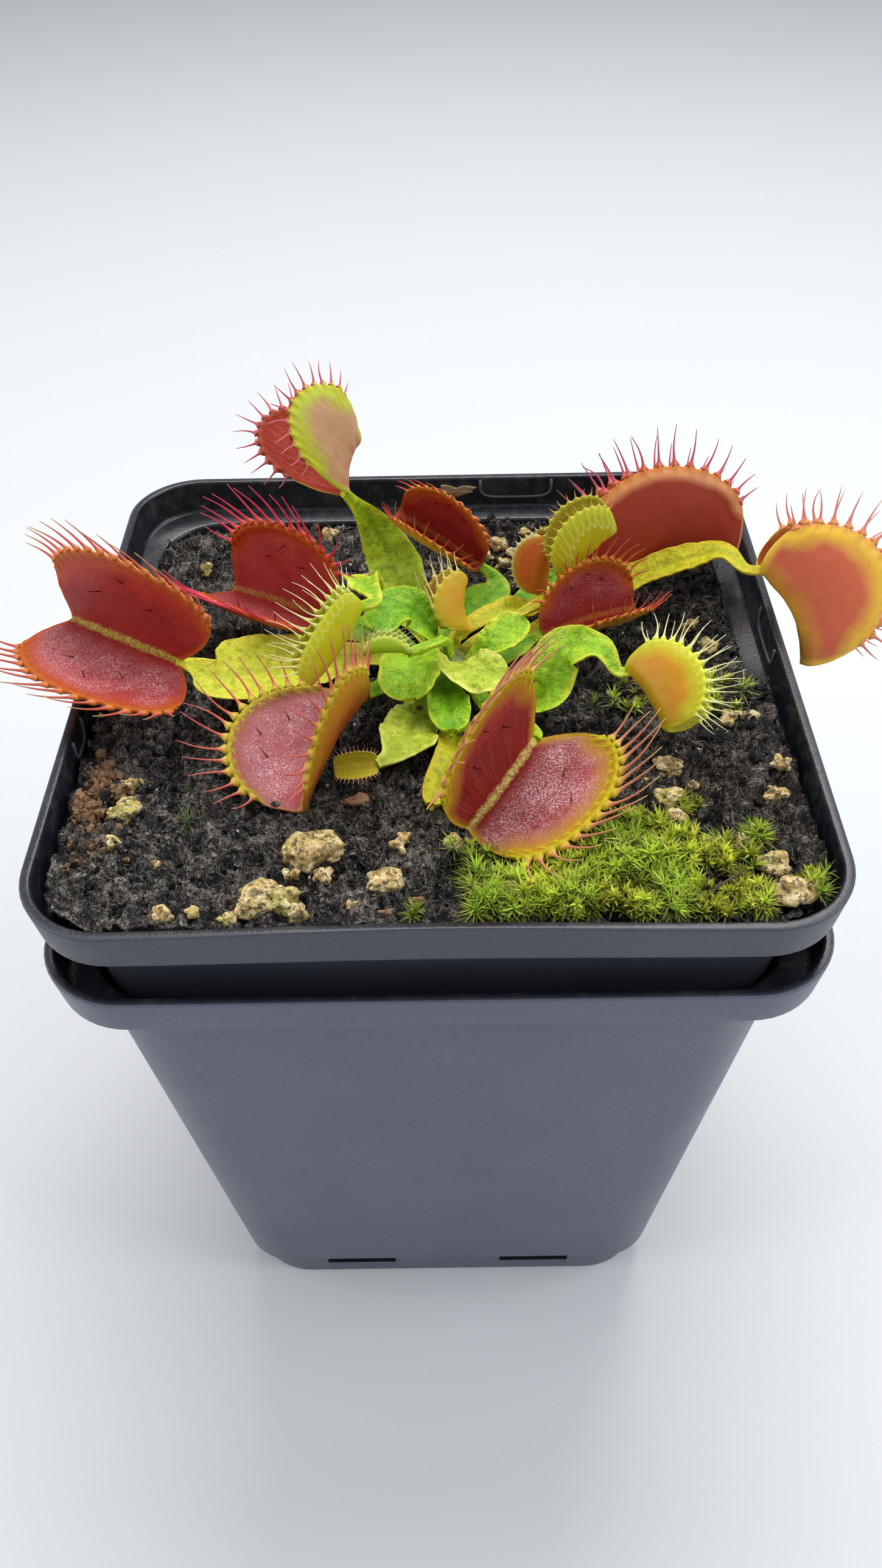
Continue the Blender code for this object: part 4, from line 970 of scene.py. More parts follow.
# %% Moss material
def moss_material():
    net = Net("star_moss", 0.45, 0.3)
    level, tip, code = net.zones()
    fine, own = net.math("MODULO", code, 2.0), net.math("DIVIDE", code, 2.0 * OWN_STEPS)
    # Both ramps run from near-black bases, partly painted shade deep in the cushion, to pale tips.
    star = net.ramp(level, ((0.0, (0.01, 0.022, 0.002)), (0.5, (0.2, 0.285, 0.006)),
                            (1.0, (0.84, 0.83, 0.075))))
    needle = net.ramp(level, ((0.0, (0.003, 0.014, 0.002)), (0.5, (0.045, 0.15, 0.006)),
                              (1.0, (0.37, 0.6, 0.028))))
    tone = net.mix(net.times(tip, 0.45), net.mix(fine, star, needle), (0.74, 0.74, 0.13))
    # Each shoot's brightness, its own tone and painted shade, multiplies its colour.
    tone = net.shaded(tone, net.spread(own, 0.1, 0.9, 0.22, 1.3))
    return net.finish(net.mix(net.spread(own, 0.9, 0.93, 0.0, 0.5), tone, (0.46, 0.34, 0.08)))


moss = moss_piece(moss_material())
print("moss faces:", len(moss.data.polygons))

# %% [markdown]
# ## Leaves: one description for every blade and trap
#
# Each leaf of the plant has a petiole, a flat waved blade that grows from the crown, and most end in a trap.
# A dataclass names the numbers of each and gives the usual ones as defaults, so a row only says what is
# special about its leaf.

# %% What a trap and a petiole are
@dataclass
class Trap:
    """Foot of the midrib in mm; heading, rise and roll in degrees; gape of a lobe; lobe length and height."""
    name: str
    base: tuple
    heading: float
    rise: float
    roll: float
    gape: float
    length: float
    height: float
    shoulder: float = 0.15
    skew: float = 0.0
    widest: float = 0.55        # where the lobe is widest, as a share of its height
    arch: float = 0.06
    bow: float = 0.1
    cilia: int = 13             # on each lobe
    cilium: float = 6.5         # length of the longest
    inward: float = 0.0         # lean towards the other lobe
    sweep: float = 0.0          # lean along the midrib
    curl: float = 0.12
    thick: float = 0.26         # radius of a cilium at its root
    look: str = "lime"


@dataclass
class Petiole:
    """Start angles on the crown, route in mm, greatest width and its place, neck width and facing."""
    name: str
    start: tuple
    route: tuple
    width: float
    widest: float = 0.65
    neck: float = 1.4
    face: tuple = (0.0, -0.3, 1.0)
    wave: float = 0.35
    waves: float = 2.0
    ruffle: float = 0.3         # height of the fine crumples at the edges in mm
    channel: float = 0.12
    look: str = "lime"

    @property
    def trap(self):
        """Name of the trap at its end; a young leaf has none and ends round."""
        return self.name.replace("petiole", "trap") if self.name.startswith("petiole") else ""


print("numbers of a trap:", len(Trap.__dataclass_fields__), "petiole:", len(Petiole.__dataclass_fields__))

# %% [markdown]
# The two tables repeat the CAD's numbers, so that a piece lies where its solid lies: a trap's foot, midrib
# direction, opening and lobe sizes, and a petiole's start on the crown, route, widths and facing direction.

# %% Traps
TRAPS = (
    Trap("trap_left", (-32.1, -5.5, 108.5), 142, -7, 42, 42, 20.3, 12.1, 0.35, -0.34, cilia=17, cilium=6.0,
        inward=0.3, sweep=0.5, curl=0.2, look="left"),
    Trap("trap_back_left", (-14.5, 9.1, 103.6), 150, -1, 28, 31, 15.3, 11.4, 0.11, -0.11, cilia=15,
        cilium=6.8, inward=0.2, sweep=0.5, curl=0.15, look="dark_red"),
    Trap("trap_raised", (-12.4, 22.2, 114.4), 74, 40, 52, 26, 7.2, 13.4, 0.45, 0.3, arch=0.1, cilia=14,
        cilium=3.5, curl=0.1, thick=0.22, look="raised"),
    Trap("trap_back_small", (6.4, 18.7, 104.7), 150, 19, 30, 19, 14.1, 8.0, 0.0, 0.0, widest=0.35, cilium=3.0,
        inward=0.4, curl=0.3, thick=0.2, look="orange_rim"),
    Trap("trap_back_right", (23.2, 20.0, 103.2), 12, 0, 38, 15, 18.8, 12.9, 0.2, -0.07, cilia=15, cilium=5.4,
        curl=0.1, look="brown_red"),
    Trap("trap_right", (44.2, 11.6, 108.9), -45, -50, 57, 12, 13.8, 13.2, 0.3, -0.15, arch=0.12, cilia=15,
        cilium=5.5, curl=0.1, look="yellow_band"),
    Trap("trap_mid_right", (14.2, 6.0, 102.8), 27, -3, -23, 28, 14.8, 8.5, 0.0, -0.04, widest=0.3, cilia=14,
        cilium=4.0, inward=0.3, curl=0.2, thick=0.22, look="orange_rim"),
    Trap("trap_low_right", (23.6, -9.0, 108.5), -62, -20, 58, 7, 8.4, 7.6, 0.3, 0.0, cilia=14, cilium=4.4,
        thick=0.15, look="flushed"),
    Trap("trap_front", (11.6, -19.7, 107.2), -132, -26, 40, 42, 13.0, 12.3, 0.35, -0.28, cilia=17, cilium=7.3,
        inward=0.4, sweep=-0.8, curl=0.2, look="velvet"),
    Trap("trap_front_left", (-9.1, -7.0, 104.4), -111.5, -6, -32, 43, 19.4, 11.4, 0.0, 0.2, widest=0.25,
        cilia=16, cilium=6.3, inward=0.2, curl=0.15, look="mauve"),
    Trap("trap_mid_left", (-8.0, -4.5, 114.7), -139, -41, -33, 6, 11.2, 4.9, 0.05, -0.16, arch=-0.05,
        cilium=5.0, inward=-0.3, curl=0.03, thick=0.12),
    Trap("trap_centre", (3.8, 4.0, 104.8), 104, 60, 80, 10, 5.6, 5.4, 0.3, 0.4, arch=0.14, cilia=9,
        cilium=3.4, sweep=4.0, thick=0.12, look="young_orange"),
    Trap("trap_right_yellow", (16.8, 13.0, 106.0), 21, 43, 11, 6, 9.2, 7.2, 0.09, 0.34, cilium=1.4,
        thick=0.13, look="yellow"),
    Trap("trap_right_orange", (14.6, 15.7, 102.5), 39, 75, 70, 7, 7.1, 5.3, 0.18, 0.05, cilium=0.7,
        thick=0.14, look="orange"),
    Trap("trap_young_left", (-2.8, -7.4, 110.7), 184, 0, -25, 5, 6.2, 2.8, 0.0, 0.0, widest=0.08, cilia=11,
        cilium=1.6, sweep=-1.2, thick=0.07, look="pale"),
    Trap("trap_young_front", (-6.8, -18.7, 102.8), 188, 0, 40, 58, 5.2, 1.75, 0.0, 0.0, widest=0.5,
        cilium=0.9, thick=0.07, look="young_yellow"),
)
print("traps:", len(TRAPS))

# %% [markdown]
# Sixteen petioles end in a trap, and the last six rows are young leaves without one. A route may be short,
# because the crown gives its first points and the trap's foot its last ones.

# %% Petioles and leaves
PETIOLES = (
    Petiole("petiole_left", (176, 12), ((-9.1, 3.0, 101.6), (-14.4, 1.0, 102.4), (-21.7, -2.4, 104.0),
        (-27.0, -5.2, 105.0)), 10.0, 0.72, wave=0.2, ruffle=0.35, look="yellow"),
    Petiole("petiole_back_left", (148, 12), ((-5.0, 6.5, 101.2), (-10.0, 7.8, 102.2)), 4.5, look="green"),
    Petiole("petiole_raised", (119, 12), ((-4.0, 14.6, 101.3), (-6.0, 22.4, 103.0), (-8.9, 24.8, 108.0)), 7.5,
        0.55, face=(0.2, -0.8, 0.6), look="dark"),
    Petiole("petiole_back_small", (92, 12), ((2.2, 9.4, 101.2), (6.0, 13.6, 101.6), (8.4, 16.4, 102.0)), 6.0,
        0.55, look="green"),
    Petiole("petiole_back_right", (61, 8), ((8.0, 10.6, 99.9), (13.5, 18.8, 100.0), (18.5, 20.6, 101.4)), 3.0,
        look="green"),
    Petiole("petiole_right", (35, 10), ((8.5, 5.4, 100.2), (14.5, 10.4, 100.3), (21.0, 14.8, 101.0),
        (28.3, 17.8, 103.4), (33.6, 17.0, 106.0), (38.2, 14.6, 109.0)), 4.5, 0.72, look="olive"),
    Petiole("petiole_mid_right", (7, 12), ((8.5, 2.0, 101.4),), 2.6, look="green"),
    Petiole("petiole_low_right", (-21, 12), ((7.2, -2.4, 100.9), (11.0, -6.3, 101.8), (13.6, -7.8, 104.4),
        (15.4, -5.4, 108.6), (19.8, -6.4, 110.0)), 6.0, 0.6, ruffle=0.45),
    Petiole("petiole_front", (-49, 12), ((5.8, -5.4, 101.0), (9.0, -12.0, 102.8)), 3.2, look="green"),
    Petiole("petiole_front_left", (-148, 12), ((-3.6, -1.4, 100.8),), 3.0, look="green"),
    Petiole("petiole_mid_left", (128, 40), ((-3.6, 7.2, 104.2), (-8.2, 8.2, 108.0), (-8.8, 3.6, 113.0)), 5.0,
        0.5, ruffle=0.5),
    Petiole("petiole_centre", (52, 60), (), 1.4, neck=1.1, look="olive"),
    Petiole("petiole_right_orange", (77, 34), ((4.6, 7.4, 103.0), (9.0, 10.2, 103.4), (13.2, 13.4, 101.2)),
        3.6, look="olive"),
    Petiole("petiole_right_yellow", (38, 36), ((7.6, 6.2, 102.8), (11.8, 8.6, 104.2)), 1.6, look="olive"),
    Petiole("petiole_young_left", (-80, 76), ((1.5, -0.8, 106.8), (0.6, -5.0, 110.0)), 1.4, neck=1.1,
        look="green"),
    Petiole("petiole_young_front", (-108, 12), ((-1.9, -7.2, 101.2), (-3.5, -13.9, 102.6),
        (-5.2, -17.2, 102.7)), 7.2, 0.7, ruffle=0.6, look="pale"),
    Petiole("leaf_low_front", (-80, 10), ((2.4, -6.0, 100.7), (2.3, -15.0, 101.4), (-0.6, -25.0, 102.0)), 4.5,
        look="olive"),
    Petiole("leaf_round_front", (-104, 38), ((1.4, -6.6, 103.0), (2.0, -13.8, 103.2)), 5.3, 0.7, ruffle=0.5,
        look="green"),
    Petiole("leaf_upright_left", (150, 66), ((-0.4, 2.4, 106.0), (-2.9, 3.4, 108.7), (-5.2, 2.2, 109.6),
        (-7.6, -1.2, 108.8)), 5.8, look="green"),
    Petiole("leaf_broad_left", (-150, 40), ((-1.7, -1.8, 105.2), (-2.9, -5.4, 106.6), (-3.0, -10.2, 105.2)),
        7.8, 0.7, ruffle=0.6, face=(-0.3, -0.4, 1.0)),
    Petiole("leaf_waved_front", (-56, 44), ((3.0, -4.0, 105.2), (5.6, -5.9, 106.0), (9.0, -5.4, 105.4)), 6.0,
        ruffle=0.8, wave=0.7, look="pale"),
    Petiole("leaf_oval_right", (-8, 40), ((7.6, 2.0, 104.4), (11.6, 5.2, 105.6)), 5.0, ruffle=0.5),
)
print("blades:", len(PETIOLES))

# %% [markdown]
# ## Shape of a trap
#
# A lobe is cut from an ellipse. Its sheet is a Coons patch, which fills the space between four edges: the
# straight hinge, the curved margin and the two ends. The sheet then bends out of the hinge on a small
# radius, rises at the gape angle, bulges outwards and follows the arch of the midrib.

# %% Lobe sheet
HINGE_RADIUS = 1.2


def trap_axes(trap):
    """Midrib, mouth and side directions of a trap."""
    heading, rise, roll = (math.radians(value) for value in (trap.heading, trap.rise, trap.roll))
    level = np.array((math.cos(heading), math.sin(heading), 0.0))
    midrib = math.cos(rise) * level + np.array((0.0, 0.0, math.sin(rise)))
    left = np.array((-math.sin(heading), math.cos(heading), 0.0))
    mouth = math.cos(roll) * np.cross(midrib, left) + math.sin(roll) * left
    return midrib, mouth, np.cross(midrib, mouth)


def lobe_outline(trap, turn):
    """Along and up coordinates on the lobe's elliptical edge, and the ellipse's start angle."""
    reach = trap.length / 2 * (1 + trap.shoulder)
    level = trap.widest * trap.height
    start = math.acos(min(trap.length / 2 / reach, 0.995))
    lower = level / math.sin(start)
    up = np.where(np.sin(turn) >= 0, (trap.height - level) * np.sin(turn), lower * np.sin(turn))
    return -reach * np.cos(turn), level + up, start


def lobe_sheet(trap, along, up):
    """Coons patch of one lobe: hinge line, margin arc and two end arcs; along and up run from 0 to 1."""
    start = lobe_outline(trap, np.zeros(1))[2]
    low = 0.35 * start - 0.32
    margin = lobe_outline(trap, -low + along * (math.pi + 2 * low))
    near = lobe_outline(trap, -start + up * (start - low))
    far = (-near[0], near[1])
    half = trap.length / 2
    sheet = []
    corner = lobe_outline(trap, np.array([-low]))
    for axis, hinge, hinge_end, mirror in ((0, half * (2 * along - 1), half, -1), (1, 0.0, 0.0, 1)):
        blend = (1 - up) * hinge + up * margin[axis] + (1 - along) * near[axis] + along * far[axis]
        blend -= (1 - along) * ((1 - up) * -hinge_end + up * corner[axis][0])
        blend -= along * ((1 - up) * hinge_end + up * mirror * corner[axis][0])
        sheet.append(blend)
    return sheet[0] + trap.skew * sheet[1], sheet[1]


def fold_lobe(trap, side, along, up):
    """Bends the sheet out of the hinge on an arc, then up at the gape angle, bowed and arched."""
    midrib, mouth, across = trap_axes(trap)
    gape = math.radians(trap.gape)
    p, q = lobe_sheet(trap, along, up)
    turned = math.pi / 2 - gape
    arc = np.minimum(q / HINGE_RADIUS, turned)
    rest = np.maximum(q - HINGE_RADIUS * turned, 0.0)
    out = HINGE_RADIUS * np.sin(arc) + rest * math.sin(gape)
    rise = HINGE_RADIUS * (1 - np.cos(arc)) + rest * math.cos(gape)
    bulge = trap.bow * trap.height * 16 * up * (1 - up) * along * (1 - along)
    rise = rise - trap.arch * trap.length * (2 * p / trap.length) ** 2
    outward = (side * math.cos(gape))[..., None] * across - math.sin(gape) * mouth
    middle = np.array(trap.base) + trap.length / 2 * midrib
    return (middle + p[..., None] * midrib + rise[..., None] * mouth
            + (side * out)[..., None] * across + bulge[..., None] * outward)


top = fold_lobe(TRAPS[8], np.ones(1), np.array([0.5]), np.ones(1))[0]
print("lobe of trap_front reaches", np.round(top, 1))

# %% [markdown]
# ## Margin, cilia and trigger hairs
#
# Each cilium stands on a triangular point of the margin, and the edge between two of them is hollow. The
# phase below is 0 at a cilium and 1 half way to the next; it shapes the points and the low buttresses on the
# inner face, and the materials read it too. A cilium is a tube that is wide at its root, tapers fast and then
# slowly, and bends towards the other lobe.

# %% Distances and cilia
def edge_distance(p, q):
    """Distance in mm of a lobe's flat sheet to its free edge; the two ends count as further away."""
    def nearest(edge_p, edge_q):
        return np.sqrt((p[..., None] - edge_p) ** 2 + (q[..., None] - edge_q) ** 2).min(axis=-1)
    ends = np.minimum(nearest(p[:, 0], q[:, 0]), nearest(p[:, -1], q[:, -1]))
    return np.minimum(nearest(p[-1], q[-1]), 3.0 * ends + 0.6)


def cilia_arrays(trap, draw, size, columns, margins):
    """Points, faces and share along the tube of both lobes' cilia; margins has one tuple a lobe."""
    midrib, mouth, across = trap_axes(trap)
    gape = math.radians(trap.gape)
    share = (np.arange(trap.cilia) + 0.5) / trap.cilia
    share = share[(share > 0.03) & (share < 0.97)]
    column = np.round(share * (columns - 1)).astype(int)
    swell = np.sqrt(np.sin(math.pi * share))[:, None]
    roots, ways, refs, inside, lengths = [], [], [], [], []
    for sign, lift, outward, tangent in margins:
        inner_way = -(sign * math.cos(gape) * across - math.sin(gape) * mouth)
        way = unit(outward[column] + swell * (trap.inward * inner_way + trap.sweep * midrib))
        ways.append(unit(way + draw.normal(0, 0.05, way.shape)))
        roots.append(lift[column] - outward[column] * 0.3 * size)
        refs.append(tangent[column])
        inside.append(np.broadcast_to(inner_way, way.shape))
        lengths.append(trap.cilium * (0.45 + 0.55 * swell[:, 0]) * draw.uniform(0.88, 1.02, len(share)))
    roots, ways, refs, inside = (np.vstack(item) for item in (roots, ways, refs, inside))
    lengths = np.concatenate(lengths)[:, None]
    step = np.linspace(0, 1, 10) ** 1.3
    bend = trap.curl * draw.uniform(0.5, 1.5, (len(roots), 1)) * lengths * step ** 2
    sway = 0.05 * draw.normal(0, 1, (len(roots), 1)) * lengths * np.sin(math.pi * step)
    paths = roots[:, None] + ways[:, None] * (lengths * step)[..., None] + inside[:, None] * bend[..., None]
    paths = paths + refs[:, None] * sway[..., None]
    radii = trap.thick * (0.92 - 0.74 * step ** 0.7 + 0.75 * bell(step, 0.1)) * np.ones((len(roots), 1))
    flat = 1.0 + 0.8 * bell(step, 0.12) * np.ones((len(roots), 1))
    return tube_arrays(paths, radii, refs, 6, flat)


# %% [markdown]
# Both lobes lie on one grid of rows, from the margin of one over the hinge to the margin of the other. Each
# point also gets its distances to hinge and edge and three directions: along the margin, straight out of the
# face and outward over the margin. Every detail of the faces is placed with these.

# %% Grid and faces of both lobes
COLUMNS_PER_CILIUM = 6
FULL_HEIGHT = 12.0              # lobe height in mm at which all details have their full size
SMALL_TRAP = 6.0                # lobes lower than this in mm get fewer rows and no trigger hairs


def trap_grid(trap):
    """Places, directions and distances of a grid over both lobes; size scales details on small traps."""
    midrib, mouth, across = trap_axes(trap)
    gape = math.radians(trap.gape)
    along_line = np.linspace(0, 1, COLUMNS_PER_CILIUM * trap.cilia + 1)
    up_line = np.linspace(0, 1, 26 if trap.height > SMALL_TRAP else 14) ** 0.85
    level, along = np.meshgrid(np.concatenate((-up_line[:0:-1], up_line)), along_line, indexing="ij")
    side = np.where(level < 0, -1.0, 1.0)
    sheet = fold_lobe(trap, side, along, np.abs(level))
    p, q = lobe_sheet(trap, *np.meshgrid(along_line, up_line))
    hinge, edge = (np.concatenate((part[:0:-1], part)) for part in (q, edge_distance(p, q)))
    normal = unit(np.cross(np.gradient(sheet, axis=1), np.gradient(sheet, axis=0)))
    if (normal[len(up_line) - 1] @ mouth).mean() < 0:
        normal = -normal
    tangent = unit(np.gradient(sheet, axis=1))
    in_lobe = side[..., None] * math.sin(gape) * across + math.cos(gape) * mouth
    outward = unit(in_lobe * (tangent @ midrib)[..., None] - midrib * (tangent * in_lobe).sum(-1)[..., None])
    phase = np.abs(2 * ((along * trap.cilia) % 1.0) - 1)
    phase[:, -1] = 1.0
    return SimpleNamespace(sheet=sheet, along=along, up=np.abs(level), level=level, side=side, hinge=hinge,
                           edge=edge, normal=normal, tangent=tangent, outward=outward, phase=phase,
                           size=min(trap.height / FULL_HEIGHT, 1.0))


def trap_faces(grid, seed):
    """Sheet with points at the margin, ripples and a crease, then its inner face, outer face and lip."""
    size, edge, to_end = grid.size, grid.edge, np.minimum(grid.along, 1 - grid.along)
    point = np.clip(to_end * 14, 0, 1) * (1 - grid.phase) ** 1.5
    scallop = (0.6 * point - 0.1) * size * np.clip((grid.up - 0.9) / 0.1, 0, 1) ** 1.5
    ripple = 0.1 * layered_noise(np.stack((grid.along * 5, grid.level * 3), axis=-1), 3, seed)
    crease = 0.07 * size * bell(edge - 1.5 * size, 0.6 * size + 0.1)
    waves = (ripple - crease) * size
    sheet = grid.sheet + grid.outward * scallop[..., None] + grid.normal * waves[..., None]
    buttress = 0.22 * size * point * bell(edge, 0.8 * size + 0.15)
    rim = 0.06 * size * bell(edge, 0.5)
    slim = 1 - 0.6 * bell(to_end, 0.05) * np.clip(grid.up * 3, 0, 1)
    keel = 0.25 * size * bell(grid.hinge, 0.8)
    half_thick = 0.15 * size + 0.05
    inner = sheet + grid.normal * (slim * (half_thick + rim) + buttress)[..., None]
    outer = sheet - grid.normal * (slim * (half_thick + 0.6 * rim) + keel + 0.4 * buttress)[..., None]
    return sheet, inner, outer, sheet + grid.outward * half_thick


print("grid of trap_front:", trap_grid(TRAPS[8]).sheet.shape[:2])

# %% [markdown]
# The shell of a trap is a loop of rows: over both inner faces from margin to margin, round the lip, back
# over the outer faces and round the other lip, so it is closed all round. Cilia stand on the two margins, and
# three short dark trigger hairs stand on each inner face.

# %% Trap piece
TRIGGER_SPOTS = np.array(((0.36, 0.42), (0.5, 0.6), (0.64, 0.42)))    # shares along and up the lobe


def trap_piece(trap, materials, seed):
    """Both lobes as a closed thin shell on a grid, with cilia and trigger hairs."""
    draw = np.random.default_rng(seed)
    grid = trap_grid(trap)
    sheet, inner, outer, lip = trap_faces(grid, seed)
    loop = np.concatenate((inner, lip[-1:], outer[::-1], lip[:1]))
    total, columns = loop.shape[:2]

    def carried(part, at_lip=None):
        """A value of the sheet repeated on the inner face, lip, outer face and lip."""
        lips = (part[-1:], part[:1]) if at_lip is None else (np.full((1, columns), at_lip),) * 2
        return np.concatenate((part, lips[0], part[::-1], lips[1])).ravel()

    points = loop.reshape(-1, 3)
    zones = np.column_stack((carried(grid.hinge), carried(grid.edge, 0.0), carried(grid.phase)))
    uv = np.column_stack((carried(grid.along + np.where(grid.side < 0, 2.0, 0.0)), carried(grid.up, 1.0)))
    last = len(sheet) - 1
    wall_row = np.repeat(np.arange(total), columns - 1)
    outer_wall = (wall_row > last) & (wall_row < 2 * last + 2)
    index = np.arange(total * columns).reshape(total, columns)
    pair = np.arange(last)
    mirrored = 2 * last + 2 - pair
    caps = [np.stack((index[pair, c], index[pair + 1, c], index[mirrored - 1, c], index[mirrored, c]), axis=1)
            for c in (0, columns - 1)]
    blocks = [strip_faces(total, columns, close_rows=True), caps[0], caps[1][:, ::-1]]
    numbers = [np.where(outer_wall, 1, 0), 1, 1]
    margins = [(sign, *(part[row] for part in (sheet, grid.outward, grid.tangent)))
               for row, sign in ((-1, 1.0), (0, -1.0))]
    tubes = [(cilia_arrays(trap, draw, grid.size, columns, margins), 2)]
    if trap.height > SMALL_TRAP:
        middle = last // 2
        column = (TRIGGER_SPOTS[:, 0] * (columns - 1)).astype(int)
        feet, ups = [], []
        for sign in (1, -1):
            row = middle + sign * (TRIGGER_SPOTS[:, 1] * middle).astype(int)
            normal = grid.normal[row, column]
            feet.append(inner[row, column] - 0.1 * normal)
            ups.append(unit(normal + 0.6 * grid.outward[row, column] + draw.normal(0, 0.2, (3, 3))))
        step = np.linspace(0, 1, 4)
        paths = np.vstack(feet)[:, None] + np.vstack(ups)[:, None] * (2.0 * grid.size * step)[:, None]
        radii = np.tile(0.1 * (1 - 0.75 * step), (6, 1))
        tubes.append((tube_arrays(paths, radii, trap_axes(trap)[0], 5), 3))
    for (tube_points, tube_walls, tube_caps, share), number in tubes:
        blocks += [tube_walls + len(points), tube_caps + len(points)]
        numbers += [number, number]
        points = np.vstack((points, tube_points))
        zones = np.vstack((zones, np.column_stack((share,) * 3)))
        uv = np.vstack((uv, np.column_stack((np.full(len(share), 0.5), share))))
    return make_piece(trap.name + "_lobes", points, blocks, materials, trap.name, uv=uv, zones=zones,
                      faces_of=numbers)


# %% [markdown]
# ## Colours of the traps
#
# All traps share two node trees and differ in a few colours. The zones attribute gives each point's distance
# in millimetres to the hinge and to the free edge, so the bands keep their real width on a large and on a
# small trap. On the inner face a speckled gold hinge is followed by deep red, a lighter red with a painted
# pale sheen as a painted highlight of tiny glands, an orange zone and a yellow edge. The hollow between two
# cilia is an ellipse about the middle of the gap; what lies outside it near the edge is the cilium's yellow
# base. Some young traps show the ellipse's outline as a pale loop on the outer face.

# %% Trap looks
@dataclass
class Look:
    """Colours from the hinge to the edge, painted sheen of the two lobes, cilia colours, and depth of the
    bases.
    """
    hinge: tuple
    deep: tuple
    face: tuple
    zone: tuple
    edge: tuple
    outer: tuple                # at the hinge, in the middle, in the band and at the edge
    cilia: tuple                # at the root, in the middle and at the tip
    painted_sheen: tuple = (0.0, 0.0)
    depth: float = 0.8          # of a cilium's base in mm
    band: float = 2.2           # width of the outer face's band in mm
    loops: float = 0.0          # strength of the pale loops


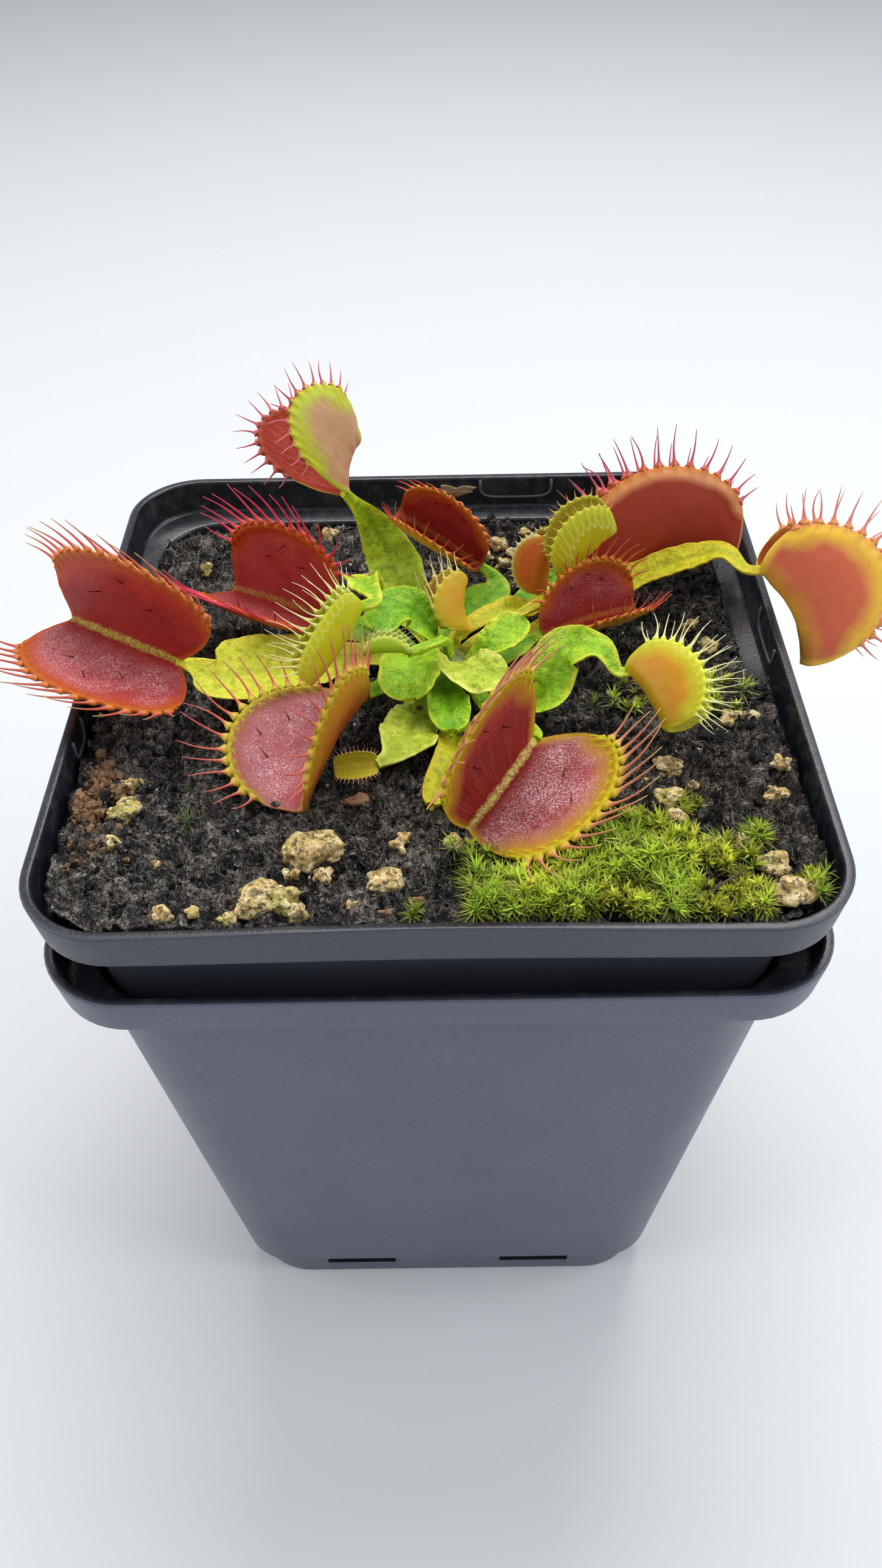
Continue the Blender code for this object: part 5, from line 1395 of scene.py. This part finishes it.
LOOKS = {
    "left": Look((0.5, 0.42, 0.06), (0.33, 0.009, 0.006), (0.5, 0.026, 0.01), (0.52, 0.08, 0.01),
        (0.56, 0.14, 0.02), ((0.56, 0.32, 0.03), (0.6, 0.1, 0.02), (0.66, 0.2, 0.02), (0.72, 0.25, 0.02)),
        ((0.66, 0.2, 0.03), (0.6, 0.1, 0.08), (0.42, 0.36, 0.17)), painted_sheen=(0.05, 0.62), depth=0.9),
    "dark_red": Look((0.44, 0.22, 0.04), (0.42, 0.027, 0.024), (0.48, 0.038, 0.026), (0.48, 0.065, 0.014),
        (0.58, 0.14, 0.016), ((0.46, 0.28, 0.03), (0.52, 0.06, 0.02), (0.54, 0.12, 0.02), (0.62, 0.16, 0.02)),
        ((0.62, 0.09, 0.03), (0.62, 0.022, 0.075), (0.56, 0.03, 0.115)), painted_sheen=(0.12, 0.3), depth=0.9),
    "raised": Look((0.34, 0.1, 0.03), (0.34, 0.026, 0.018), (0.42, 0.034, 0.02), (0.44, 0.046, 0.026),
        (0.46, 0.1, 0.055), ((0.56, 0.22, 0.12), (0.58, 0.33, 0.17), (0.54, 0.6, 0.03), (0.6, 0.56, 0.03)),
        ((0.58, 0.13, 0.1), (0.6, 0.11, 0.15), (0.62, 0.24, 0.3)), painted_sheen=(0.03, 0.03), band=1.5, depth=3.2),
    "orange_rim": Look((0.4, 0.13, 0.02), (0.3, 0.014, 0.009), (0.38, 0.024, 0.014), (0.5, 0.11, 0.018),
        (0.6, 0.22, 0.02), ((0.5, 0.36, 0.03), (0.54, 0.15, 0.02), (0.6, 0.28, 0.03), (0.66, 0.28, 0.02)),
        ((0.64, 0.24, 0.03), (0.56, 0.07, 0.04), (0.52, 0.055, 0.075)), painted_sheen=(0.05, 0.3)),
    "brown_red": Look((0.36, 0.18, 0.04), (0.22, 0.012, 0.009), (0.26, 0.018, 0.011), (0.34, 0.05, 0.015),
        (0.45, 0.1, 0.02), ((0.3, 0.034, 0.01), (0.31, 0.032, 0.01), (0.62, 0.26, 0.085), (0.62, 0.17, 0.02)),
        ((0.62, 0.12, 0.07), (0.56, 0.07, 0.12), (0.2, 0.1, 0.15)), band=1.1),
    "yellow_band": Look((0.42, 0.22, 0.04), (0.34, 0.03, 0.014), (0.42, 0.06, 0.02), (0.5, 0.14, 0.02),
        (0.6, 0.26, 0.03), ((0.74, 0.36, 0.04), (0.68, 0.14, 0.072), (0.88, 0.52, 0.05), (0.84, 0.3, 0.1)),
        ((0.78, 0.3, 0.09), (0.72, 0.22, 0.2), (0.56, 0.38, 0.34)), band=2.0, depth=1.0),
    "lime": Look((0.46, 0.46, 0.03), (0.48, 0.42, 0.03), (0.52, 0.46, 0.03), (0.54, 0.51, 0.03),
        (0.62, 0.64, 0.06), ((0.42, 0.5, 0.01), (0.56, 0.5, 0.01), (0.58, 0.6, 0.012), (0.7, 0.72, 0.05)),
        ((0.74, 0.76, 0.12), (0.94, 0.9, 0.46), (0.97, 0.93, 0.66)), depth=1.1, loops=0.4),
    "flushed": Look((0.44, 0.4, 0.03), (0.46, 0.34, 0.03), (0.5, 0.38, 0.03), (0.52, 0.46, 0.03),
        (0.62, 0.64, 0.06), ((0.56, 0.36, 0.01), (0.62, 0.26, 0.012), (0.56, 0.5, 0.012), (0.66, 0.7, 0.04)),
        ((0.72, 0.74, 0.12), (0.92, 0.88, 0.44), (0.96, 0.92, 0.64)), band=1.4, depth=0.9, loops=0.12),
    "velvet": Look((0.78, 0.64, 0.18), (0.29, 0.012, 0.012), (0.46, 0.042, 0.04), (0.56, 0.29, 0.016),
        (0.66, 0.58, 0.016), ((0.46, 0.46, 0.03), (0.5, 0.38, 0.03), (0.52, 0.46, 0.02), (0.58, 0.54, 0.02)),
        ((0.66, 0.44, 0.03), (0.62, 0.21, 0.14), (0.66, 0.38, 0.2)), painted_sheen=(0.06, 1.0), depth=1.25),
    "mauve": Look((0.4, 0.24, 0.05), (0.42, 0.07, 0.085), (0.46, 0.105, 0.125), (0.46, 0.16, 0.11),
        (0.58, 0.52, 0.02), ((0.46, 0.1, 0.014), (0.44, 0.085, 0.014), (0.46, 0.19, 0.016),
        (0.54, 0.44, 0.02)), ((0.62, 0.44, 0.04), (0.62, 0.1, 0.1), (0.56, 0.08, 0.14)), painted_sheen=(0.85, 0.68)),
    "young_orange": Look((0.46, 0.36, 0.04), (0.58, 0.2, 0.03), (0.6, 0.25, 0.03), (0.6, 0.32, 0.04),
        (0.64, 0.46, 0.05), ((0.6, 0.34, 0.016), (0.7, 0.22, 0.02), (0.66, 0.4, 0.018), (0.56, 0.48, 0.03)),
        ((0.68, 0.44, 0.08), (0.9, 0.78, 0.34), (0.94, 0.86, 0.56))),
    "yellow": Look((0.45, 0.42, 0.03), (0.46, 0.36, 0.03), (0.48, 0.4, 0.03), (0.5, 0.42, 0.03),
        (0.6, 0.56, 0.05), ((0.46, 0.46, 0.01), (0.5, 0.5, 0.01), (0.52, 0.54, 0.012), (0.62, 0.6, 0.03)),
        ((0.68, 0.6, 0.1), (0.66, 0.44, 0.1), (0.58, 0.22, 0.08)), depth=2.6, loops=0.55),
    "young_yellow": Look((0.6, 0.46, 0.04), (0.5, 0.42, 0.015), (0.54, 0.46, 0.015), (0.54, 0.46, 0.018),
        (0.6, 0.48, 0.04), ((0.46, 0.42, 0.012), (0.5, 0.44, 0.012), (0.52, 0.46, 0.014), (0.58, 0.46, 0.04)),
        ((0.72, 0.46, 0.12), (0.76, 0.42, 0.2), (0.74, 0.34, 0.22)), depth=0.5),
    "orange": Look((0.45, 0.28, 0.03), (0.46, 0.08, 0.02), (0.48, 0.12, 0.02), (0.5, 0.2, 0.02),
        (0.64, 0.52, 0.14), ((0.6, 0.19, 0.025), (0.66, 0.125, 0.03), (0.62, 0.24, 0.025),
        (0.74, 0.64, 0.24)), ((0.76, 0.68, 0.3), (0.82, 0.7, 0.36), (0.84, 0.74, 0.44)), band=0.8, depth=0.5),
    "pale": Look((0.34, 0.46, 0.04), (0.3, 0.46, 0.02), (0.34, 0.5, 0.02), (0.38, 0.54, 0.03),
        (0.62, 0.7, 0.1), ((0.24, 0.5, 0.012), (0.28, 0.54, 0.012), (0.36, 0.58, 0.02), (0.62, 0.72, 0.1)),
        ((0.66, 0.74, 0.2), (0.86, 0.86, 0.48), (0.94, 0.9, 0.66)), depth=0.4),
}
print("looks:", len(LOOKS))

# %% [markdown]
# The inner face is built up as the photograph shows it: deep red with veins, then the bands near the edge,
# freckles, a painted pale sheen that stands for the highlights of tiny glands, and the gold hinge. The outer
# face is plainer, with a band, a few freckles and the pale loops. Both have a little subsurface light,
# because a lobe is thin and wet.

# %% Trap materials
def hollow(net, edge, phase, depth):
    """Radius in the ellipse between two cilia: 1 on its outline, less inside."""
    gap = net.math("POWER", net.math("SUBTRACT", 1.0, phase), 2.0)
    down = net.math("POWER", net.math("DIVIDE", edge, depth), 2.0)
    return net.math("SQRT", net.plus(gap, down))


def inner_material(name, look):
    net = Net(name, 0.4, 0.18, (0.08, 0.0015))
    hinge, edge, phase = net.zones()
    u, v = net.surface()
    deep, size = look.deep, look.depth
    waved = net.shifted(edge, 1.6, 0.25 * size)
    tone = net.ramp(net.shifted(v, 3.0, 0.05), ((0.05, deep), (0.42, deep), (0.8, look.face)))
    tone = net.mix(net.spread(net.grain(2.6, 4.0, 0.6), 0.4, 0.68, 0.0, 0.45), tone, darker(deep, 0.62))
    veins = net.veins(u, v, 55.0, 1.5)
    tone = net.mix(net.spread(veins, 0.5, 0.75, 0.0, 0.15), tone, look.zone)
    tone = net.mix(net.spread(waved, 3.2 * size, 0.9 * size), tone, look.zone)
    outside = net.spread(hollow(net, edge, phase, size), 0.92, 1.08)
    bases = net.times(outside, net.spread(edge, 1.2 * size, 0.6 * size))
    rim = net.spread(net.shifted(edge, 1.6, 0.12), 0.6, 0.2, 0.0, 0.85)
    tone = net.mix(net.math("MAXIMUM", bases, rim), tone, look.edge)
    freckles = net.times(net.spread(net.cells(0.5), 0.17, 0.1),
                         net.spread(waved, 2.2 * size, 0.8 * size, 0.0, 0.5))
    tone = net.mix(freckles, tone, darker(look.zone, 0.25))
    glands = net.spread(net.grain(0.2, 2.0, 0.6), 0.44, 0.6)
    # Painted sheen: a pale pink painted highlight of the glands, with its own strength on each lobe.
    painted_sheen = net.times(net.spread(u, 1.45, 1.55, *look.painted_sheen), net.spread(edge, 0.9 * size, 3.2 * size),
                      net.spread(hinge, 0.6, 3.0), net.spread(net.grain(4.5, 2.0), 0.34, 0.58, 0.35, 1.0),
                      net.spread(glands, 0.0, 1.0, 0.1, 0.95))
    tone = net.mix(painted_sheen, tone, (0.86, 0.52, 0.56))
    gold = net.times(net.spread(net.grain(0.25, 2.0), 0.42, 0.58, 0.3, 1.0),
                     net.spread(net.shifted(hinge, 0.8, 0.16), 0.52, 0.2))
    lumps = net.times(net.grain(0.6, 2.0), net.spread(hinge, 1.0, 0.3, 0.0, 3.0))
    relief = net.plus(glands, lumps, net.times(veins, 0.7))
    rough = net.spread(glands, 0.0, 1.0, 0.52, 0.38)
    return net.finish(net.mix(gold, tone, look.hinge), rough, (relief, 0.06, 0.9))


def outer_material(name, look):
    net = Net(name, 0.42, 0.28, (0.08, 0.0015))
    hinge_tone, middle, band_tone, rim_tone = look.outer
    hinge, edge, phase = net.zones()
    waved = net.shifted(edge, 2.6, 0.18 * look.band)
    tone = net.mix(net.spread(net.shifted(hinge, 2.0, 0.6), 0.4, 3.0), hinge_tone, middle)
    tone = net.mix(net.spread(waved, 1.9 * look.band, 0.75 * look.band), tone, band_tone)
    veins = net.veins(*net.surface(), 60.0, 1.3)
    tone = net.mix(net.spread(veins, 0.5, 0.78, 0.0, 0.12), tone, darker(middle, 0.6))
    mottle = net.spread(net.grain(2.2, 4.0, 0.6), 0.5, 0.75, 0.0, 0.35)
    tone = net.mix(mottle, tone, darker(hinge_tone, 0.72))
    freckles = net.times(net.spread(net.cells(0.6), 0.14, 0.08),
                         net.spread(net.grain(3.5, 2.0), 0.45, 0.6, 0.0, 0.45))
    tone = net.mix(freckles, tone, darker(middle, 0.3))
    radius = hollow(net, edge, phase, look.depth)
    bases = net.times(net.spread(radius, 0.95, 1.1), net.spread(edge, look.depth, 0.5 * look.depth))
    tone = net.mix(net.math("MAXIMUM", bases, net.spread(edge, 0.45, 0.15)), tone, rim_tone)
    if look.loops:
        off_line = net.math("ABSOLUTE", net.math("SUBTRACT", radius, 1.0))
        tone = net.mix(net.spread(off_line, 0.14, 0.03, 0.0, look.loops), tone, (0.82, 0.8, 0.26))
    skin = net.plus(net.times(veins, 0.35), net.grain(0.25, 2.0))
    return net.finish(tone, bumps=(skin, 0.045, 0.6))


def cilia_material(name, look):
    """Root, middle and tip colour along the tube."""
    net = Net(name, 0.38, 0.35, (0.1, 0.001))
    root, middle, tip = look.cilia
    tone = net.ramp(net.zones()[0], ((0.06, root), (0.32, middle), (0.6, middle), (1.0, tip)))
    return net.finish(net.mix(net.spread(net.grain(0.8, 2.0), 0.4, 0.7, 0.0, 0.3), tone, root))


net = Net("trigger_hair", 0.4)
hair_material = net.finish(net.mix(net.grain(0.3), (0.035, 0.004, 0.006), (0.09, 0.01, 0.014)))
looks = {name: (inner_material(name + "_inner", look), outer_material(name + "_outer", look),
                cilia_material(name + "_cilia", look), hair_material) for name, look in LOOKS.items()}
pieces = [trap_piece(trap, looks[trap.look], 300 + number) for number, trap in enumerate(TRAPS)]
print("trap triangles:", sum(len(face.vertices) - 2 for piece in pieces for face in piece.data.polygons))

# %% [markdown]
# ## Petioles and young leaves
#
# A blade is a ribbon on a smooth route. The route is a Catmull-Rom curve, which passes through its points;
# the half width follows a cosine up to the widest place and down to the neck. Across the blade the section
# is a shallow trough with a groove over the midrib, thin at the edges, and both edges wave.

# %% Route and width of a blade
CROWN_CENTRE = np.array((1.5, 2.0, 99.5))
CROWN_RADIUS = 3.6
CLEARANCE = 0.3


def smooth_route(points, steps):
    """Evenly spaced points on a Catmull-Rom curve through the given points, with their tangents."""
    control = np.array(points, dtype=float)
    control = np.vstack((2 * control[0] - control[1], control, 2 * control[-1] - control[-2]))
    a, b, c, d = (control[i:len(control) - 3 + i, None] for i in range(4))
    t = np.linspace(0, 1, 12, endpoint=False)[None, :, None]
    fine = 2 * b + (c - a) * t + (2 * a - 5 * b + 4 * c - d) * t ** 2 + (3 * b - a - 3 * c + d) * t ** 3
    fine = np.vstack((0.5 * fine.reshape(-1, 3), control[-2]))
    length = np.concatenate(((0.0,), np.cumsum(np.linalg.norm(np.diff(fine, axis=0), axis=1))))
    wanted = np.linspace(0, length[-1], steps + 1)
    route = np.stack([np.interp(wanted, length, fine[:, axis]) for axis in range(3)], axis=1)
    for _ in range(3):
        route[1:-1] = 0.25 * route[:-2] + 0.5 * route[1:-1] + 0.25 * route[2:]
    return route, unit(np.gradient(route, axis=0)), length[-1]


def neck_end(name):
    """Last points of a petiole: up from below the trap's hinge and into its foot."""
    trap = next(item for item in TRAPS if item.name == name)
    midrib, mouth, _ = trap_axes(trap)
    foot = fold_lobe(trap, np.ones(1), np.zeros(1), np.zeros(1))[0]
    approach = unit(midrib + (0.45 + 4.0 * trap.shoulder) * mouth)
    last = foot + 0.15 * approach
    if trap.length < 8.0:
        return [last]
    return [foot - min(0.16 * trap.length, 2.6) * approach, last]


def blade_width(petiole, share):
    """Half width: cosine rise to the widest place, then a cosine fall to a neck or a round end."""
    start = 0.6
    end = petiole.neck / 2 if petiole.trap else petiole.width * 0.1
    top = petiole.width / 2
    rise = np.clip(share / petiole.widest, 0, 1)
    fall = np.clip((share - petiole.widest) / (1 - petiole.widest), 0, 1)
    before = start + (top - start) * (1 - np.cos(rise * math.pi)) / 2
    if petiole.trap:
        after = end + (top - end) * (1 + np.cos(fall * math.pi)) / 2
    else:
        after = end + (top - end) * np.sqrt(1 - fall ** 2.4)
    return np.where(share < petiole.widest, before, after)


# %% [markdown]
# Two noises make a blade look grown: one crumples the skin, most at the edges, and one nibbles at the
# outline. Both fade at the neck and the tip, where the blade is narrow. The section is a closed loop of the
# upper and the under side, and a keel under the midrib gives it strength.

# %% Blade piece
BLADE_STEPS, BLADE_COLUMNS = 96, 29     # along the blade and across one face of it


def blade_piece(petiole, material, seed):
    """Top and under sides on one grid (across, along), closed by faces at both ends."""
    around, up = (math.radians(value) for value in petiole.start)
    way = np.array((math.cos(up) * math.cos(around), math.cos(up) * math.sin(around), math.sin(up)))
    points = [CROWN_CENTRE + (CROWN_RADIUS + run) * way for run in (-1.2, CLEARANCE + 0.8)]
    points += [np.array(place) for place in petiole.route]
    if petiole.trap:
        points += neck_end(petiole.trap)
    route, tangent, length = smooth_route(points, BLADE_STEPS)
    share = np.linspace(0, 1, BLADE_STEPS + 1)
    half = blade_width(petiole, share)
    side = unit(np.cross(tangent, np.array(petiole.face, dtype=float)))
    normal = unit(np.cross(side, tangent))
    across = np.sin(np.linspace(-1, 1, BLADE_COLUMNS) * math.pi / 2)[:, None]
    share_row, half_row = share[None], half[None]
    out = np.abs(across)
    broad = np.clip(half_row - 0.9, 0, 1) * np.sin(math.pi * share_row) ** 0.5
    trough = petiole.channel * 2 * half_row * (across ** 2 - 0.3)
    wave = petiole.wave * across ** 2 * np.sin(2 * math.pi * petiole.waves * share_row + 1.5 * across)
    place = np.stack(np.broadcast_arrays(share_row * length / 2.0, across * half_row / 2.4 + seed), axis=-1)
    crumple = layered_noise(place, 3, seed) * (0.45 + 0.55 * out ** 2)
    lift = trough + wave * np.sin(math.pi * share_row) + petiole.ruffle * crumple * broad
    nibble = (0.03 + 0.06 * petiole.ruffle) * lattice_noise(place[..., ::-1] * 1.7, seed + 5) * out * broad
    middle = route[None] + lift[..., None] * normal[None]
    middle = middle + (across * half_row * (1 + nibble))[..., None] * side[None]
    groove = 0.2 * bell(across * half_row, 0.35) * broad
    keel = 0.24 * bell(across * half_row, 0.55)
    round_top = np.maximum(1 - across ** 2, 0)
    thick = 0.11 + 0.17 * np.sqrt(round_top) + 0.25 * bell(share_row, 0.08) * round_top
    neckness = np.clip(1.6 - half_row, 0, 1) * round_top * 0.25
    top = middle + (thick - groove + neckness)[..., None] * normal[None]
    under = middle - (thick + keel + neckness)[..., None] * normal[None]
    loop = np.concatenate((top, under[-2:0:-1]))
    rows, columns = loop.shape[:2]
    aside = np.concatenate((across[:, 0], across[-2:0:-1, 0]))[:, None]
    u = np.broadcast_to(share, (rows, columns))
    v = np.broadcast_to(aside * 0.5 + 0.5, u.shape)
    from_midrib, from_edge = np.abs(aside) * half_row, (1 - np.abs(aside)) * half_row
    zones = np.stack((from_midrib.ravel(), from_edge.ravel(), u.ravel()), axis=1)
    index = np.arange(rows * columns).reshape(rows, columns)
    caps = np.stack((index[:, 0], index[::-1, -1]))
    return make_piece(petiole.name + "_blade", loop.reshape(-1, 3),
                      [strip_faces(rows, columns, close_rows=True)[:, ::-1], caps], [material], petiole.name,
                      uv=np.stack((u.ravel(), v.ravel()), axis=1), zones=zones)

# %% [markdown]
# A blade is green along the midrib and yellower towards its edges, with clouds of dark and light green, paler
# patches that are painted highlights on its crinkles, small dark freckles and a quilted skin. The zones
# attribute again gives distances in millimetres: to the midrib and to the edge.

# %% Blade materials
# colours of the core, the blade and the edge
BLADE_TONES = {
    "green": ((0.15, 0.4, 0.006), (0.26, 0.54, 0.01), (0.5, 0.66, 0.02)),
    "lime": ((0.24, 0.5, 0.007), (0.37, 0.61, 0.012), (0.74, 0.78, 0.05)),
    "yellow": ((0.64, 0.7, 0.03), (0.78, 0.79, 0.05), (0.88, 0.8, 0.07)),
    "pale": ((0.43, 0.57, 0.018), (0.63, 0.72, 0.075), (0.9, 0.86, 0.2)),
    "dark": ((0.33, 0.54, 0.012), (0.5, 0.69, 0.02), (0.74, 0.76, 0.04)),
    "olive": ((0.48, 0.5, 0.012), (0.66, 0.62, 0.014), (0.7, 0.52, 0.02))}


def blade_material(name, colours):
    core, blade, edge = colours
    net = Net(name + "_blade", 0.36, 0.32, (0.1, 0.0015))
    from_midrib, from_edge, _ = net.zones()
    tone = net.mix(net.spread(net.grain(4.2, 4.0, 0.62), 0.36, 0.64), core, blade)
    # Paler patches: painted highlights, as if light caught the crinkles of the skin.
    pale = net.spread(net.grain(1.3, 4.0, 0.65), 0.5, 0.66, 0.0, 0.75)
    tone = net.mix(pale, tone, tuple(0.5 * (a + b) for a, b in zip(blade, edge)))
    quilt = net.grain(0.85, 3.0, 0.62)
    tone = net.mix(net.spread(quilt, 0.5, 0.36, 0.0, 0.6), tone, darker(core, 0.5))
    near_rib = net.spread(net.shifted(from_midrib, 1.5, 0.3), 0.75, 0.15, 0.0, 0.45)
    tone = net.mix(near_rib, tone, darker(core, 0.75))
    tone = net.mix(net.spread(net.shifted(from_edge, 1.8, 0.45), 0.75, 0.1, 0.0, 0.75), tone, edge)
    freckles = net.times(net.spread(net.cells(0.42), 0.2, 0.1),
                         net.spread(net.grain(2.4, 2.0), 0.42, 0.6, 0.0, 0.75))
    skin = net.plus(net.grain(0.22, 2.0), net.times(quilt, 2.4))
    return net.finish(net.mix(freckles, tone, darker(core, 0.25)), bumps=(skin, 0.15, 1.0))


blade_looks = {name: blade_material(name, colours) for name, colours in BLADE_TONES.items()}
for number, petiole in enumerate(PETIOLES):
    blade_piece(petiole, blade_looks[petiole.look], 500 + number)
print("blades:", len(PETIOLES))

# %% [markdown]
# ## The crown
#
# The crown is the short stem that all leaves grow from. Its CAD solid has the right shape and is almost
# hidden, so it stays and only gets a material: pale green scales with brown old leaf bases.

# %% Crown material
net = Net("crown_scales", 0.55)
scales = net.grain(1.8, 4.0)
tone = net.ramp(scales, ((0.3, (0.05, 0.045, 0.015)), (0.5, (0.2, 0.24, 0.04)), (0.7, (0.36, 0.42, 0.1))))
crown_material = net.finish(tone, bumps=(scales, 0.2, 0.8))
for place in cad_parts["crown"].material_slots:
    place.material = crown_material
print("crown slots:", len(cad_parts["crown"].material_slots))

# %% [markdown]
